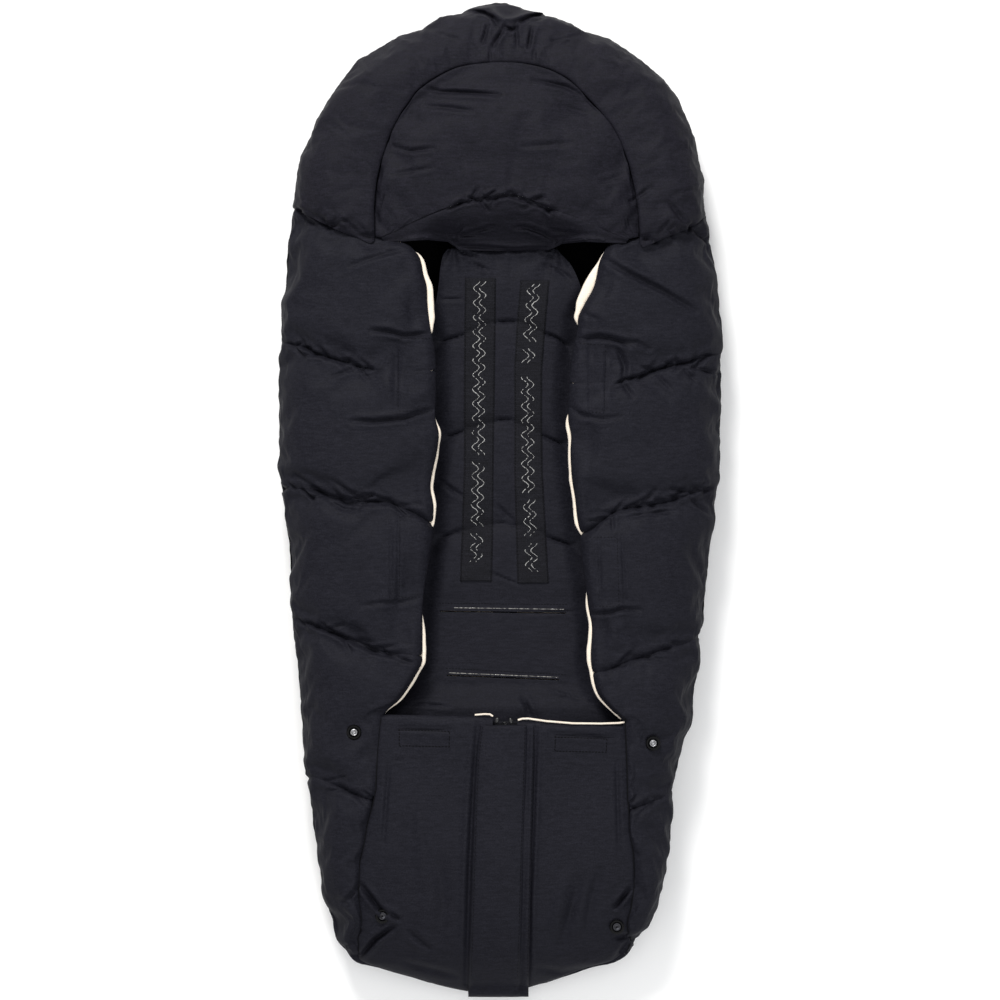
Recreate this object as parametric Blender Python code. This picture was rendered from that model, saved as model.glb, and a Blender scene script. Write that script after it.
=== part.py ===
"""Stroller footmuff, lying face down: metres, +Z up, hood towards +Y, origin on the floor under its middle."""
import math

import bmesh
import bpy
import numpy as np
from mathutils import Matrix

# Whole object
LENGTH = 0.996
HALF_WIDTH = 0.222
HEIGHT = 0.104
TOP_Y = LENGTH / 2
# Silhouette: share of the length from the hood down, share of the half width
SILHOUETTE_shares = (
    (0, 0), (0.02, 0.33), (0.04, 0.53), (0.06, 0.65), (0.08, 0.735), (0.12, 0.842), (0.16, 0.895),
    (0.2, 0.92), (0.25, 0.958), (0.3, 0.978), (0.38, 1), (0.44, 0.995), (0.5, 0.975), (0.56, 0.945),
    (0.64, 0.908), (0.72, 0.874), (0.8, 0.82), (0.88, 0.775), (0.92, 0.722), (0.96, 0.59),
    (0.98, 0.38), (0.995, 0.13), (1, 0.04),
)
# Thickness of the whole object, lying: share of the length from the hood down, share of the height
PROFILE_shares = (
    (0, 0.36), (0.03, 0.62), (0.09, 0.84), (0.2, 0.97), (0.34, 1), (0.84, 1), (0.9, 0.91),
    (0.95, 0.74), (0.98, 0.52), (1, 0.3),
)
SECTION_POWER = 2.5
HOOD_ROWS = 28

# Padded shell
PAD = 0.024
SEAM_PAD = 0.009
QUILT_DENT = 0.011
REST_PRESS = 0.0088
SIDE_DENT_share = 0.35
CLEAR = 0.0003
LINING = 0.0022
CLOTH = 0.0016

# Quilt seams: where each meets the side, measured from the hood's end, and how far it slants to the middle
HOOD_LENGTH = 0.206
SEAM_shares = {"A": 0, "B": 0.1785, "C": 0.348, "D": 0.532, "E": 0.7304}
SEAM_FROM_TOP = {key: HOOD_LENGTH + share * (LENGTH - HOOD_LENGTH) for key, share in SEAM_shares.items()}
WING_ROW_shares = (0, 0.08, 0.28, 0.72, 0.92)
COVER_ROW_shares = (0, 0.12, 0.38, 0.62, 0.88)
SEAM_SLANT = 0.29
HOOD_SEAM_SLANT = 0.395
WING_END_PAST_SEAM = 0.014
WING_END_FROM_TOP = SEAM_FROM_TOP["D"] + WING_END_PAST_SEAM
FOOT_LENGTH = 0.279
FOOT_OPENING_FROM_TOP = LENGTH - FOOT_LENGTH
FOLD_TO_END = 0.168
FOLD_FROM_TOP = LENGTH - FOLD_TO_END
FOOT_SEAM_TO_END = 0.100
FOOT_SEAM_FROM_TOP = LENGTH - FOOT_SEAM_TO_END
SIDE_PANEL_TO_END = 0.045
SIDE_PANEL_END_FROM_TOP = LENGTH - SIDE_PANEL_TO_END
NECKLINE_DEPTH = 0.129
NECKLINE_FROM_TOP = HOOD_LENGTH + NECKLINE_DEPTH
NECK_HALF_WIDTH = 0.075

# Wing's free edge: shares of the way from its top to the foot opening, and distances from the middle
WING_TOP_PAST_SEAM = 0.037
WING_TOP_FROM_TOP = HOOD_LENGTH + WING_TOP_PAST_SEAM
WING_EDGE_shares = (0, 0.1, 0.3, 0.45, 0.75, 0.9, 1)
WING_EDGE = (0.092, 0.077, 0.066, 0.066, 0.079, 0.079, 0.119)
WING_PEEP = 0.005

# Hood
ARCH_TOP_FROM_TOP = 0.064
ARCH_HALF_WIDTH = 0.128
ARCH_CENTRE_X = 0.006
HOOD_PANEL_PAD = 0.018
YOKE_ABOVE_SEAM = 0.008
YOKE_BELOW_SEAM = 0.046
YOKE_TOP_FROM_TOP = HOOD_LENGTH - YOKE_ABOVE_SEAM
YOKE_BOTTOM_FROM_TOP = HOOD_LENGTH + YOKE_BELOW_SEAM
YOKE_HALF_WIDTH = 0.055
YOKE_PAD = 0.010
YOKE_share = 0.9
FACE_HALF_WIDTH = 0.120
FACE_TOP_FROM_TOP = 0.085
PATCH_SIZE = (0.042, 0.014)
PATCH_FROM_TOP = 0.0545
PATCH_X = 0.012

# Back panel
BACK_TOP_FROM_TOP = YOKE_BOTTOM_FROM_TOP
BACK_NECK = (0, 0.012, 0.03, 0.07, 1)
BACK_NECK_shares = (0, 0.06, 0.25, 1, 1)
BACK_PAST_OPENING = 0.053
BACK_BOTTOM_FROM_TOP = FOOT_OPENING_FROM_TOP + BACK_PAST_OPENING
BACK_Z = 0.053
BACK_PAD = 0.014
SLOT_WIDTH = {"upper": 0.126, "lower": 0.112}
SLOT_TO_OPENING = {"upper": 0.107, "lower": 0.043}
SLOT_FROM_TOP = {level: FOOT_OPENING_FROM_TOP - reach for level, reach in SLOT_TO_OPENING.items()}
BACK_CHANNEL_shares = (0.2235, 0.497, 0.788, 0.955)
CHANNELLED = SLOT_FROM_TOP["upper"] - BACK_TOP_FROM_TOP
BACK_CHANNELS_FROM_TOP = [BACK_TOP_FROM_TOP + share * CHANNELLED for share in BACK_CHANNEL_shares]
STRIP_WIDTH = 0.032
STRIP_THICK = 0.0018
# Each strip: its place across and below the yoke at its top, and across and above the upper slot at its end
STRIPS = {
    "left": ((-0.0195, 0.0255), (-0.024, 0.031)),
    "right": ((0.0348, 0.028), (0.033, 0.028)),
}
SLOT_GAP = 0.0052
SLOT_RIM = 0.0035
SLOT_X = 0.003

# Foot section
SIDE_SEAM_HALF = 0.124
SIDE_SEAM_FOOT_HALF = 0.136
FOOT_PAD = 0.0045
ZIP_X = 0.005
ZIP_GAP_HALF = 0.012
ZIP_DEPTH = QUILT_DENT + 0.0032
TAPE_THICK = 0.0012
TEETH_WIDTH = 0.0055
TEETH_HEIGHT = 0.0022
TEETH_GAP = 0.0014
PLACKET_FREE_X = -0.021
PLACKET_SEWN_X = 0.0275
PLACKET_THICK = 0.003
PLACKET_ROOM = 0.052
PLACKET_RIDGE = 0.0035
END_ROUND = 0.0095
ZIP_STRAIGHT_ROWS = 8
WRAPPED_ROWS = 24
END_PANEL_share = 0.75
PLACKET_BELOW_OPENING = 0.005
PLACKET_TOP_FROM_TOP = FOOT_OPENING_FROM_TOP + PLACKET_BELOW_OPENING
TAB_SIZE = (0.050, 0.018)
TAB_BELOW_OPENING = 0.020
TAB_FROM_TOP = FOOT_OPENING_FROM_TOP + TAB_BELOW_OPENING
TAB_X = {"left": -0.075, "right": 0.082}
# Each hook tape: the seam over it, its distance below that seam, its length
HOOK_TAPE = {"upper": ("B", 0.029, 0.078), "lower": ("C", 0.074, 0.078)}
HOOK_TAPE_WIDTH = 0.028
HOOK_TAPE_IN = 0.022

# Press studs: place from the middle and from the hood's end
SNAP_RADIUS = 0.0075
SNAP_RIM = 0.0018
SNAP_HEIGHT = 0.0018
SNAP_BORE = 0.0042
SNAP_CORE_RADIUS = 0.0037
SNAP_CORE_HEIGHT = 0.0028
SNAP_BELOW_OPENING = {"left": 0.013, "right": 0.024}
SNAP_TO_END = {"left": 0.082, "right": 0.071}
SNAPS = {
    "upper_left": (-0.145, FOOT_OPENING_FROM_TOP + SNAP_BELOW_OPENING["left"]),
    "upper_right": (0.152, FOOT_OPENING_FROM_TOP + SNAP_BELOW_OPENING["right"]),
    "lower_left": (-0.117, LENGTH - SNAP_TO_END["left"]),
    "lower_right": (0.1165, LENGTH - SNAP_TO_END["right"]),
}

# Zip sliders
SLIDER_LENGTH = 0.011
SLIDER_WIDTH = 0.009
SLIDER_PLATE = 0.0012
BAIL_RADIUS = 0.0028
BAIL_BAR = 0.0006
PULLER_LENGTH = 0.020
PULLER_WIDTH = 0.006
PULLER_THICK = 0.0014
PULLER_BAR = 0.0012
PULLER_EYE = (0.003, 0.0042)

COLOURS = {
    "shell": ((0.023, 0.023, 0.032), 0.55, 0),
    "hood": ((0.022, 0.021, 0.028), 0.55, 0),
    "lining": ((0.86, 0.79, 0.70), 0.95, 0),
    "tape": ((0.020, 0.020, 0.022), 0.80, 0),
    "silicone": ((0.30, 0.30, 0.30), 0.40, 0),
    "steel": ((0.08, 0.08, 0.09), 0.35, 1),
    "nickel": ((0.55, 0.55, 0.56), 0.30, 1),
}
MATERIALS = {}


def along(from_top):
    return TOP_Y - from_top


def smooth(points, at):
    """The value at a place on the smooth curve through (place, value) points, which never overshoots them."""
    place, value = np.array(points, float).T
    step = np.diff(place)
    rise = np.diff(value) / step
    tangent = np.zeros_like(value)
    for i in range(1, len(value) - 1):
        if rise[i - 1] * rise[i] > 0:
            tangent[i] = 2 * rise[i - 1] * rise[i] / (rise[i - 1] + rise[i])
    tangent[0], tangent[-1] = rise[0], rise[-1]
    at = min(max(at, place[0]), place[-1])
    i = min(max(int(np.searchsorted(place, at)) - 1, 0), len(step) - 1)
    s = (at - place[i]) / step[i]
    start = value[i] * (1 + 2 * s) * (1 - s) ** 2 + step[i] * tangent[i] * s * (1 - s) ** 2
    end = value[i + 1] * s * s * (3 - 2 * s) + step[i] * tangent[i + 1] * s * s * (s - 1)
    return float(start + end)


def half_width(y):
    squares = [(place, share**2) for place, share in SILHOUETTE_shares]
    return HALF_WIDTH * math.sqrt(smooth(squares, (TOP_Y - y) / LENGTH))


def height(y):
    return HEIGHT * smooth(PROFILE_shares, (TOP_Y - y) / LENGTH)


def wall(y):
    """The padding's full thickness, which thins towards the two ends."""
    return min(PAD, 0.42 * height(y))


def power(value):
    return abs(value) ** (2 / SECTION_POWER)


def ease(t):
    t = min(max(t, 0), 1)
    return t * t * (3 - 2 * t)


def pillow(t):
    """How full a quilted cell is, from 0 on its seams to 1 in its middle."""
    return (4 * min(max(t, 0), 1) * (1 - min(max(t, 0), 1))) ** 0.4


def cell(y, seams):
    """How far y lies between the two quilt seams round it, from 0 to 1."""
    for upper, lower in zip(seams, seams[1:]):
        if upper >= y >= lower:
            return (upper - y) / (upper - lower)
    return 0


def mesh_object(name, mesh, material, parent=None):
    """An object with its material. A moving piece has its origin at its parent, on the joint's axis."""
    obj = bpy.data.objects.new(name, mesh)
    bpy.context.scene.collection.objects.link(obj)
    mesh.materials.append(MATERIALS[material])
    if parent is not None:
        mesh.transform(Matrix.Translation(-parent.location))
        obj.parent = parent
    mesh.shade_smooth()
    mesh.set_sharp_from_angle(angle=math.radians(40))
    return obj


def closed_sheet(name, across, rows, outer, inner, material, parent=None):
    """A closed skin between two surfaces, each a function of the shares across and along."""
    mesh = bmesh.new()
    layers = []
    for surface in (outer, inner):
        grid = [
            [mesh.verts.new(surface(i / across, j / rows)) for i in range(across + 1)]
            for j in range(rows + 1)
        ]
        layers.append(grid)
        for j in range(rows):
            for i in range(across):
                mesh.faces.new((grid[j][i], grid[j][i + 1], grid[j + 1][i + 1], grid[j + 1][i]))
    top, under = layers
    rim = [(0, i) for i in range(across)] + [(j, across) for j in range(rows)]
    rim += [(rows, i) for i in range(across, 0, -1)] + [(j, 0) for j in range(rows, 0, -1)]
    for (j, i), (n, m) in zip(rim, rim[1:] + rim[:1]):
        mesh.faces.new((top[j][i], top[n][m], under[n][m], under[j][i]))
    bmesh.ops.recalc_face_normals(mesh, faces=mesh.faces)
    data = bpy.data.meshes.new(name)
    mesh.to_mesh(data)
    mesh.free()
    return mesh_object(name, data, material, parent)


def skin(hand, up, y, share, edge, dent, slant=0):
    """A point of the padded oval section: share 0 is the side, 1 is where the piece ends, edge from the middle."""
    dent = min(dent, 0.43 * height(y))
    wide = half_width(y) - dent
    limit = math.acos(min(max(edge * hand / wide, 0), 1) ** (SECTION_POWER / 2))
    turn = share * limit
    x = wide * power(math.cos(turn))
    rise = (height(y) / 2 - dent - CLEAR) * power(math.sin(turn))
    z = max(0, height(y) / 2 + up * (CLEAR / 2 + rise))
    return (hand * x, y - slant * (half_width(y) - x), z)


def over(x, y, dent):
    """Height of the padded section's upper surface over a point, at a depth under its crown."""
    dent = min(dent, 0.43 * height(y))
    wide = half_width(y) - dent
    rise = max(0, 1 - (abs(x) / wide) ** SECTION_POWER) ** (1 / SECTION_POWER)
    return height(y) / 2 + (height(y) / 2 - dent) * rise


def under(x, y, dent):
    return height(y) - over(x, y, dent)


def wing_edge(y):
    """Distance of a wing's free edge from the middle."""
    top, foot = along(WING_TOP_FROM_TOP), along(FOOT_OPENING_FROM_TOP)
    return smooth(list(zip(WING_EDGE_shares, WING_EDGE)), (top - y) / (top - foot))


def hand_of(side):
    return -1 if side == "left" else 1


def quilt_depth(up, u, full):
    """Depth of the quilted surface under its crown. The side that lies down is pressed flat on its crowns."""
    depth = QUILT_DENT * (1 - full) * (SIDE_DENT_share + (1 - SIDE_DENT_share) * ease(u / SIDE_DENT_share))
    return depth - (REST_PRESS * full * ease(u / SIDE_DENT_share) if up < 0 else 0)


def beside_zip(x):
    """The padding is flat along the zip, where the placket lies, and full beyond it."""
    return ease((abs(x - ZIP_X) - PLACKET_ROOM) / PAD)


def padded_skin(name, side, up, places, edge, seams, parent=None, slants=(0, 0, 0), across=10):
    """A quilted piece of the side, with its rows at the places given, slanted at its two ends as slants say."""
    hand = hand_of(side)
    last = len(places) - 1

    def row(v):
        return places[round(v * last)]

    def slant(v):
        upper = slants[0] + (slants[1] - slants[0]) * ease(3 * v)
        return upper + (slants[2] - upper) * ease((v - 0.6) / 0.4)

    def outer(u, v):
        y = row(v)
        plain_x = skin(hand, up, y, u, edge(y), 0)[0]
        dent = quilt_depth(up, u, pillow(cell(y, seams)) * beside_zip(plain_x))
        if up > 0:
            dent += (PAD - QUILT_DENT - SEAM_PAD) * ease((u - 0.86) / 0.14)
        return skin(hand, up, y, u, edge(y), dent, slant(v))

    def inner(u, v):
        return skin(hand, up, row(v), u, edge(row(v)), wall(row(v)), slant(v))

    return closed_sheet(name, across, last, outer, inner, "shell", parent)


def skin_layer(name, side, y_from, y_to, edge, depth, thick, material, parent=None, start=0.3, slant=0):
    """A thin layer under the padded skin, from a share of the way round to the edge."""
    hand = hand_of(side)

    def surface(extra):
        def point(u, v):
            y = y_from + (y_to - y_from) * v
            share = start + (1 - start) * u
            return skin(hand, 1, y, share, edge(y), depth + extra, slant * (1 - ease((v - 0.6) / 0.4)))

        return point

    return closed_sheet(name, 4, 12, surface(0), surface(thick), material, parent)


def closing_places(y_from, y_to, rows):
    """Row places that come closer together towards the rounded end."""
    return [y_from + (y_to - y_from) * math.sin(math.pi / 2 * j / rows) for j in range(rows + 1)]


def quilt_places(seams, shares):
    """Row places in each quilted cell, close together beside its seams."""
    pairs = list(zip(seams, seams[1:]))
    return [upper + (lower - upper) * share for upper, lower in pairs for share in shares] + [seams[-1]]


def even_places(y_from, y_to, rows):
    return [y_from + (y_to - y_from) * j / rows for j in range(rows + 1)]


def strip_along(name, x_from, x_to, y_from, y_to, top, thick, material, parent=None, across=4, rows=8, places=None,
                floor=lambda x, y: 0):
    """A flat layer: x limits and the height of its top are functions of the place. It may name its rows' places."""
    places = places or even_places(y_from, y_to, rows)
    last = len(places) - 1

    def surface(lower):
        def point(u, v):
            y = places[round(v * last)]
            x = x_from(y) + (x_to(y) - x_from(y)) * u
            return (x, y, max(top(x, y) - lower, floor(x, y)))

        return point

    return closed_sheet(name, across, last, surface(0), surface(thick), material, parent)


def always(value):
    return lambda *place: value


def build_wing(side, parent):
    hand = hand_of(side)
    top, end = along(SEAM_FROM_TOP["A"]), along(WING_END_FROM_TOP)
    seams = [along(SEAM_FROM_TOP[key]) for key in "ABC"] + [end]
    places = quilt_places([top - CLEAR] + seams[1:-1] + [end + CLEAR], WING_ROW_shares)
    padded_skin(
        f"{side}_wing", side, 1, places, lambda y: hand * wing_edge(y), seams, parent,
        (HOOD_SEAM_SLANT, SEAM_SLANT, 0),
    )

    def lining_edge(y):
        return hand * (wing_edge(y) - WING_PEEP)

    skin_layer(
        f"{side}_wing_lining", side, top - CLEAR, end + CLEAR, lining_edge, PAD + 2 * CLEAR, LINING, "lining",
        parent, slant=HOOD_SEAM_SLANT,
    )
    for level, (seam, below, length) in HOOK_TAPE.items():
        start = SEAM_FROM_TOP[seam] + below
        strip_along(
            f"{side}_{level}_hook_tape",
            lambda y: hand * (wing_edge(y) + HOOK_TAPE_IN),
            lambda y: hand * (wing_edge(y) + HOOK_TAPE_IN + HOOK_TAPE_WIDTH),
            along(start), along(start + length),
            lambda x, y: over(x, y, PAD + LINING + 4 * CLEAR), CLOTH, "tape", parent, 2, 4,
        )


def side_seam(y):
    """Distance of the foot panel's side seam from the middle."""
    t = (along(FOOT_OPENING_FROM_TOP) - y) / (LENGTH - FOOT_OPENING_FROM_TOP)
    return SIDE_SEAM_HALF + (SIDE_SEAM_FOOT_HALF - SIDE_SEAM_HALF) * ease(t * 1.6)


def panel_edge(y):
    """The side panel's inner edge: the wing's line down to the foot opening, the side seam below it."""
    if y > along(FOOT_OPENING_FROM_TOP):
        return wing_edge(y)
    return min(side_seam(y), max(half_width(y) - PAD - SEAM_PAD, half_width(y) * END_PANEL_share))


def build_side_panels(side, fold_parent):
    hand = hand_of(side)
    start, fold, end = along(WING_END_FROM_TOP), along(FOLD_FROM_TOP), along(SIDE_PANEL_END_FROM_TOP)
    opening = along(FOOT_OPENING_FROM_TOP)
    seams = [start, along(SEAM_FROM_TOP["E"]), along(FOOT_SEAM_FROM_TOP), end]
    padded_skin(
        f"{side}_side_panel", side, 1, even_places(start, opening, 5) + even_places(opening, fold + CLEAR, 5)[1:],
        lambda y: hand * panel_edge(y), seams, across=8,
    )
    padded_skin(
        f"{side}_foot_side_panel", side, 1, closing_places(fold - CLEAR, end, 8),
        lambda y: hand * (panel_edge(y) + CLEAR), seams, fold_parent, across=8,
    )
    skin_layer(
        f"{side}_panel_lining", side, start, opening + CLEAR,
        lambda y: hand * (wing_edge(y) - WING_PEEP), PAD + CLEAR, LINING, "lining",
    )


def build_front(side, fold_parent):
    """The front cover and its foot end: the halves on each side of the front zip."""
    hand = hand_of(side)
    shoulder, fold = along(SEAM_FROM_TOP["A"]), along(FOLD_FROM_TOP)
    end = END_ROUND - TOP_Y
    drop = NECKLINE_FROM_TOP - SEAM_FROM_TOP["A"]
    edge = ZIP_X + hand * ZIP_GAP_HALF
    seams = [shoulder] + [along(SEAM_FROM_TOP[key]) for key in "BCDE"] + [along(FOOT_SEAM_FROM_TOP), end]

    places = quilt_places([shoulder] + seams[1:5] + [fold + CLEAR], COVER_ROW_shares)

    def cover(depth_of):
        def point(u, v):
            y_side = places[round(v * (len(places) - 1))]
            fade = (y_side - places[-1]) / (places[0] - places[-1])
            x, y, z = skin(hand, -1, y_side, u, edge, depth_of(u, y_side))
            dip = SEAM_SLANT * (half_width(y_side) - abs(x)) * fade
            neck = (drop - dip) * ease((NECK_HALF_WIDTH - abs(x)) / NECK_HALF_WIDTH) * fade
            return (x, y - dip - max(0, neck), z)

        return point

    def quilted(u, y):
        plain_x = skin(hand, -1, y, u, edge, 0)[0]
        return quilt_depth(-1, u, pillow(cell(y, seams)) * beside_zip(plain_x))

    closed_sheet(
        f"front_cover_{side}", 9, len(places) - 1, cover(quilted), cover(lambda u, y: wall(y)), "shell",
    )
    padded_skin(
        f"foot_cover_{side}", side, -1, closing_places(fold - CLEAR, end, 10), always(edge), seams, fold_parent,
        across=8,
    )

    def lining(extra):
        def point(u, v):
            y = along(NECKLINE_FROM_TOP) + (fold + CLEAR - along(NECKLINE_FROM_TOP)) * v
            return skin(hand, -1, y, 0.35 + 0.65 * u, edge, PAD + 2 * CLEAR + extra)

        return point

    closed_sheet(f"front_lining_{side}", 4, 8, lining(0), lining(LINING), "lining")


def build_foot_panels(side, fold_parent):
    hand = hand_of(side)
    opening, fold, end = along(FOOT_OPENING_FROM_TOP), along(FOLD_FROM_TOP), END_ROUND - TOP_Y

    def inner(y):
        return ZIP_X + hand * ZIP_GAP_HALF

    def outer(y):
        return hand * (panel_edge(y) - 4 * CLEAR)

    def top(x, y):
        return over(x, y, QUILT_DENT)

    def floor(x, y):
        return height(y) / 2 + CLEAR

    for name, places, parent in (
        (f"{side}_foot_panel", even_places(opening, fold + CLEAR, 5), None),
        (f"{side}_foot_end_panel", closing_places(fold - CLEAR, end, ZIP_STRAIGHT_ROWS), fold_parent),
    ):
        strip_along(name, inner, outer, opening, end, top, FOOT_PAD, "shell", parent, 6, places=places, floor=floor)
    long, wide = TAB_SIZE
    strip_along(
        f"{side}_foot_tab", always(TAB_X[side] - long / 2), always(TAB_X[side] + long / 2),
        along(TAB_FROM_TOP) + wide / 2, along(TAB_FROM_TOP) - wide / 2,
        lambda x, y: top(x, y) + CLEAR + CLOTH / 2, CLOTH / 2, "tape", None, 2, 2,
    )


def hood_seam(x):
    """Where the seam between the hood and the wings lies, at a distance from the middle."""
    side = along(SEAM_FROM_TOP["A"])
    return side - HOOD_SEAM_SLANT * (half_width(side) - abs(x))


def arch_foot(hand):
    return hood_seam(ARCH_CENTRE_X + hand * ARCH_HALF_WIDTH) + 2 * CLEAR


def arch_point(turn, grow=0):
    """A point of the arch seam: turn runs from 0 at its left foot to pi at its right foot."""
    foot, top = arch_foot(math.copysign(1, -math.cos(turn))), along(ARCH_TOP_FROM_TOP)
    x = (ARCH_HALF_WIDTH + grow) * math.copysign(power(math.cos(turn)), -math.cos(turn))
    return (ARCH_CENTRE_X + x, foot + (top + grow - foot) * power(math.sin(turn)))


def side_point(turn):
    """A point of the hood's silhouette, from the left end of seam A over the top to the right end."""
    foot = along(SEAM_FROM_TOP["A"])
    y = foot + (TOP_Y - foot) * math.sin(turn)
    return (math.copysign(half_width(y), -math.cos(turn)), y)


def face_point(turn):
    """A point of the face opening's edge, on the side that lies down."""
    foot = along(SEAM_FROM_TOP["A"]) - SEAM_SLANT * (half_width(along(SEAM_FROM_TOP["A"])) - FACE_HALF_WIDTH)
    top = along(FACE_TOP_FROM_TOP)
    x = FACE_HALF_WIDTH * math.copysign(power(math.cos(turn)), -math.cos(turn))
    return (x, foot + (top - foot) * power(math.sin(turn)))


def build_hood_rim():
    """The padded roll round the hood: from the arch seam over the silhouette to the face opening."""
    centre = (0, along(SEAM_FROM_TOP["A"]))

    def point(u, v, inside):
        turn = math.pi * v
        around = math.pi / 2 - math.pi * u
        near = arch_point(turn, 2 * CLEAR) if around > 0 else face_point(turn)
        far = side_point(turn)
        thick = wall(far[1]) if inside else QUILT_DENT * (1 - pillow(u) * ease(6 * min(v, 1 - v)))
        if around < 0 and not inside:
            thick -= 1.4 * REST_PRESS * pillow(v) * ease(2 * u - 1)
        if inside:
            reach = math.dist(far, centre)
            far = tuple(c + (f - c) * (1 - thick / reach) for f, c in zip(far, centre))
        out = power(math.cos(around))
        x, y = (n + (f - n) * out for n, f in zip(near, far))
        rise = math.copysign(power(math.sin(around)), around)
        depth = min(wall(y) if inside else thick, 0.43 * height(y))
        return (x, y, max(0, height(y) / 2 + (height(y) / 2 - depth) * rise))

    return closed_sheet(
        "hood_rim", 12, HOOD_ROWS, lambda u, v: point(u, v, False), lambda u, v: point(u, v, True), "hood",
    )


def yoke_arc(x):
    """The yoke's upper seam, which is the arch panel's lower edge."""
    across = min(abs(x - ARCH_CENTRE_X) / ARCH_HALF_WIDTH, 1)
    top, foot = along(YOKE_TOP_FROM_TOP), arch_foot(math.copysign(1, x - ARCH_CENTRE_X))
    return top - (top - foot) * across**1.6


def build_arch_panel():
    def point(u, v, depth_of):
        turn = math.pi * v
        outer_x, outer_y = arch_point(turn)
        start_y = yoke_arc(outer_x)
        y = start_y + (outer_y - start_y) * u
        return (outer_x, y, height(y) - depth_of(u, v))

    def upper(u, v):
        full = pillow(u) * pillow(v)
        return QUILT_DENT * (1 - full)

    def row_of(v):
        return (1 + (HOOD_ROWS - 2) * v) / HOOD_ROWS

    return closed_sheet(
        "hood_arch_panel", 9, HOOD_ROWS - 2, lambda u, v: point(u, row_of(v), upper),
        lambda u, v: point(u, row_of(v), lambda u, v: QUILT_DENT + HOOD_PANEL_PAD), "hood",
    )


def back_half(y):
    """Half width of the back panel: a neck under the yoke, then out to the front cover's side walls."""
    wide = half_width(y) - wall(y) - BACK_PAD
    neck_y = along(BACK_TOP_FROM_TOP)
    spread = smooth(list(zip(BACK_NECK, BACK_NECK_shares)), neck_y - y)
    return YOKE_HALF_WIDTH + (wide - YOKE_HALF_WIDTH) * spread


def build_yoke():
    middle_low = along(YOKE_BOTTOM_FROM_TOP) + 2 * CLEAR

    def point(u, v, lower):
        x = ARCH_CENTRE_X + ARCH_HALF_WIDTH * YOKE_share * (2 * u - 1)
        top = yoke_arc(x) - 2 * CLEAR
        low = min(max(middle_low, hood_seam(x) + 2 * CLEAR), top - SEAM_PAD / 4)
        middle = ease((2 * YOKE_HALF_WIDTH - abs(x - ARCH_CENTRE_X)) / YOKE_HALF_WIDTH)
        y = top + (low - top) * v
        crown = over(x, y, QUILT_DENT)
        down = (crown - BACK_Z - BACK_PAD / 2) * ease(v * 1.05) * middle
        return (x, y, crown - down - lower)

    return closed_sheet(
        "gathered_yoke", 18, 5, lambda u, v: point(u, v, 0), lambda u, v: point(u, v, YOKE_PAD), "hood",
    )


def build_hood_patch(rim):
    """The small patch stitched to the rim over the gathers at the top of the hood."""
    wide, tall = PATCH_SIZE
    bpy.context.view_layer.update()
    strip_along(
        "hood_patch", always(PATCH_X - wide / 2), always(PATCH_X + wide / 2),
        along(PATCH_FROM_TOP) + tall / 2, along(PATCH_FROM_TOP) - tall / 2,
        lambda x, y: seat_height([rim], x, y, 0) + CLEAR + CLOTH, CLOTH, "hood", None, 4, 2,
    )


def back_channel(y):
    places = [along(BACK_TOP_FROM_TOP)] + [along(p) for p in BACK_CHANNELS_FROM_TOP]
    return pillow(cell(y, places))


def back_places():
    """The rows of the back panel: five to each quilted cell, so that every layer on it shares its facets."""
    seams = [along(BACK_TOP_FROM_TOP)] + [along(p) for p in BACK_CHANNELS_FROM_TOP]
    seams.append(along(BACK_BOTTOM_FROM_TOP))
    places = [seams[0]]
    for upper, lower in zip(seams, seams[1:]):
        places += even_places(upper, lower, 5)[1:]
    return places


def back_top(x, y):
    """Height of the back panel's upper surface."""
    full = back_channel(y) * pillow(0.5 + x / (2 * back_half(y)))
    return BACK_Z + BACK_PAD / 2 - (BACK_PAD / 4) * (1 - full)


def build_back():
    top, end = along(BACK_TOP_FROM_TOP), along(BACK_BOTTOM_FROM_TOP)
    panel = strip_along(
        "back_panel", lambda y: -back_half(y), back_half, top, end, back_top, 0.75 * BACK_PAD, "shell",
        None, 10, places=back_places(),
    )
    lining = strip_along(
        "back_lining", lambda y: -back_half(y), back_half, top, end,
        lambda x, y: back_top(x, y) - 0.75 * BACK_PAD - CLEAR, LINING, "lining", None, 10,
        places=back_places(),
    )
    return panel, lining


def build_strip(side):
    (x_top, below_yoke), (x_low, above_slot) = STRIPS[side]
    top, low = BACK_TOP_FROM_TOP + below_yoke, SLOT_FROM_TOP["upper"] - above_slot
    middle = straight_line((along(top), x_top), (along(low), x_low))
    places = [y for y in back_places() if along(low) < y < along(top)]
    strip_along(
        f"{side}_grip_strip", lambda y: middle(y) - STRIP_WIDTH / 2, lambda y: middle(y) + STRIP_WIDTH / 2,
        along(top), along(low), lambda x, y: back_top(x, y) + 2 * CLEAR + STRIP_THICK, STRIP_THICK, "tape",
        None, 2, places=[along(top)] + places + [along(low)],
    )


def straight_line(start, end):
    return lambda y: start[1] + (end[1] - start[1]) * (y - start[0]) / (end[0] - start[0])




def cut_by(obj, cutter):
    """Takes the cutter's volume out of an object."""
    cutter.hide_render = True
    cutter.display_type = "WIRE"
    modifier = obj.modifiers.new(cutter.name, "BOOLEAN")
    modifier.object = cutter
    modifier.operation = "DIFFERENCE"


def join_to(obj, other):
    """Makes another shape one body with an object."""
    other.hide_render = True
    other.display_type = "WIRE"
    modifier = obj.modifiers.new(other.name, "BOOLEAN")
    modifier.object = other
    modifier.operation = "UNION"


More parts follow.
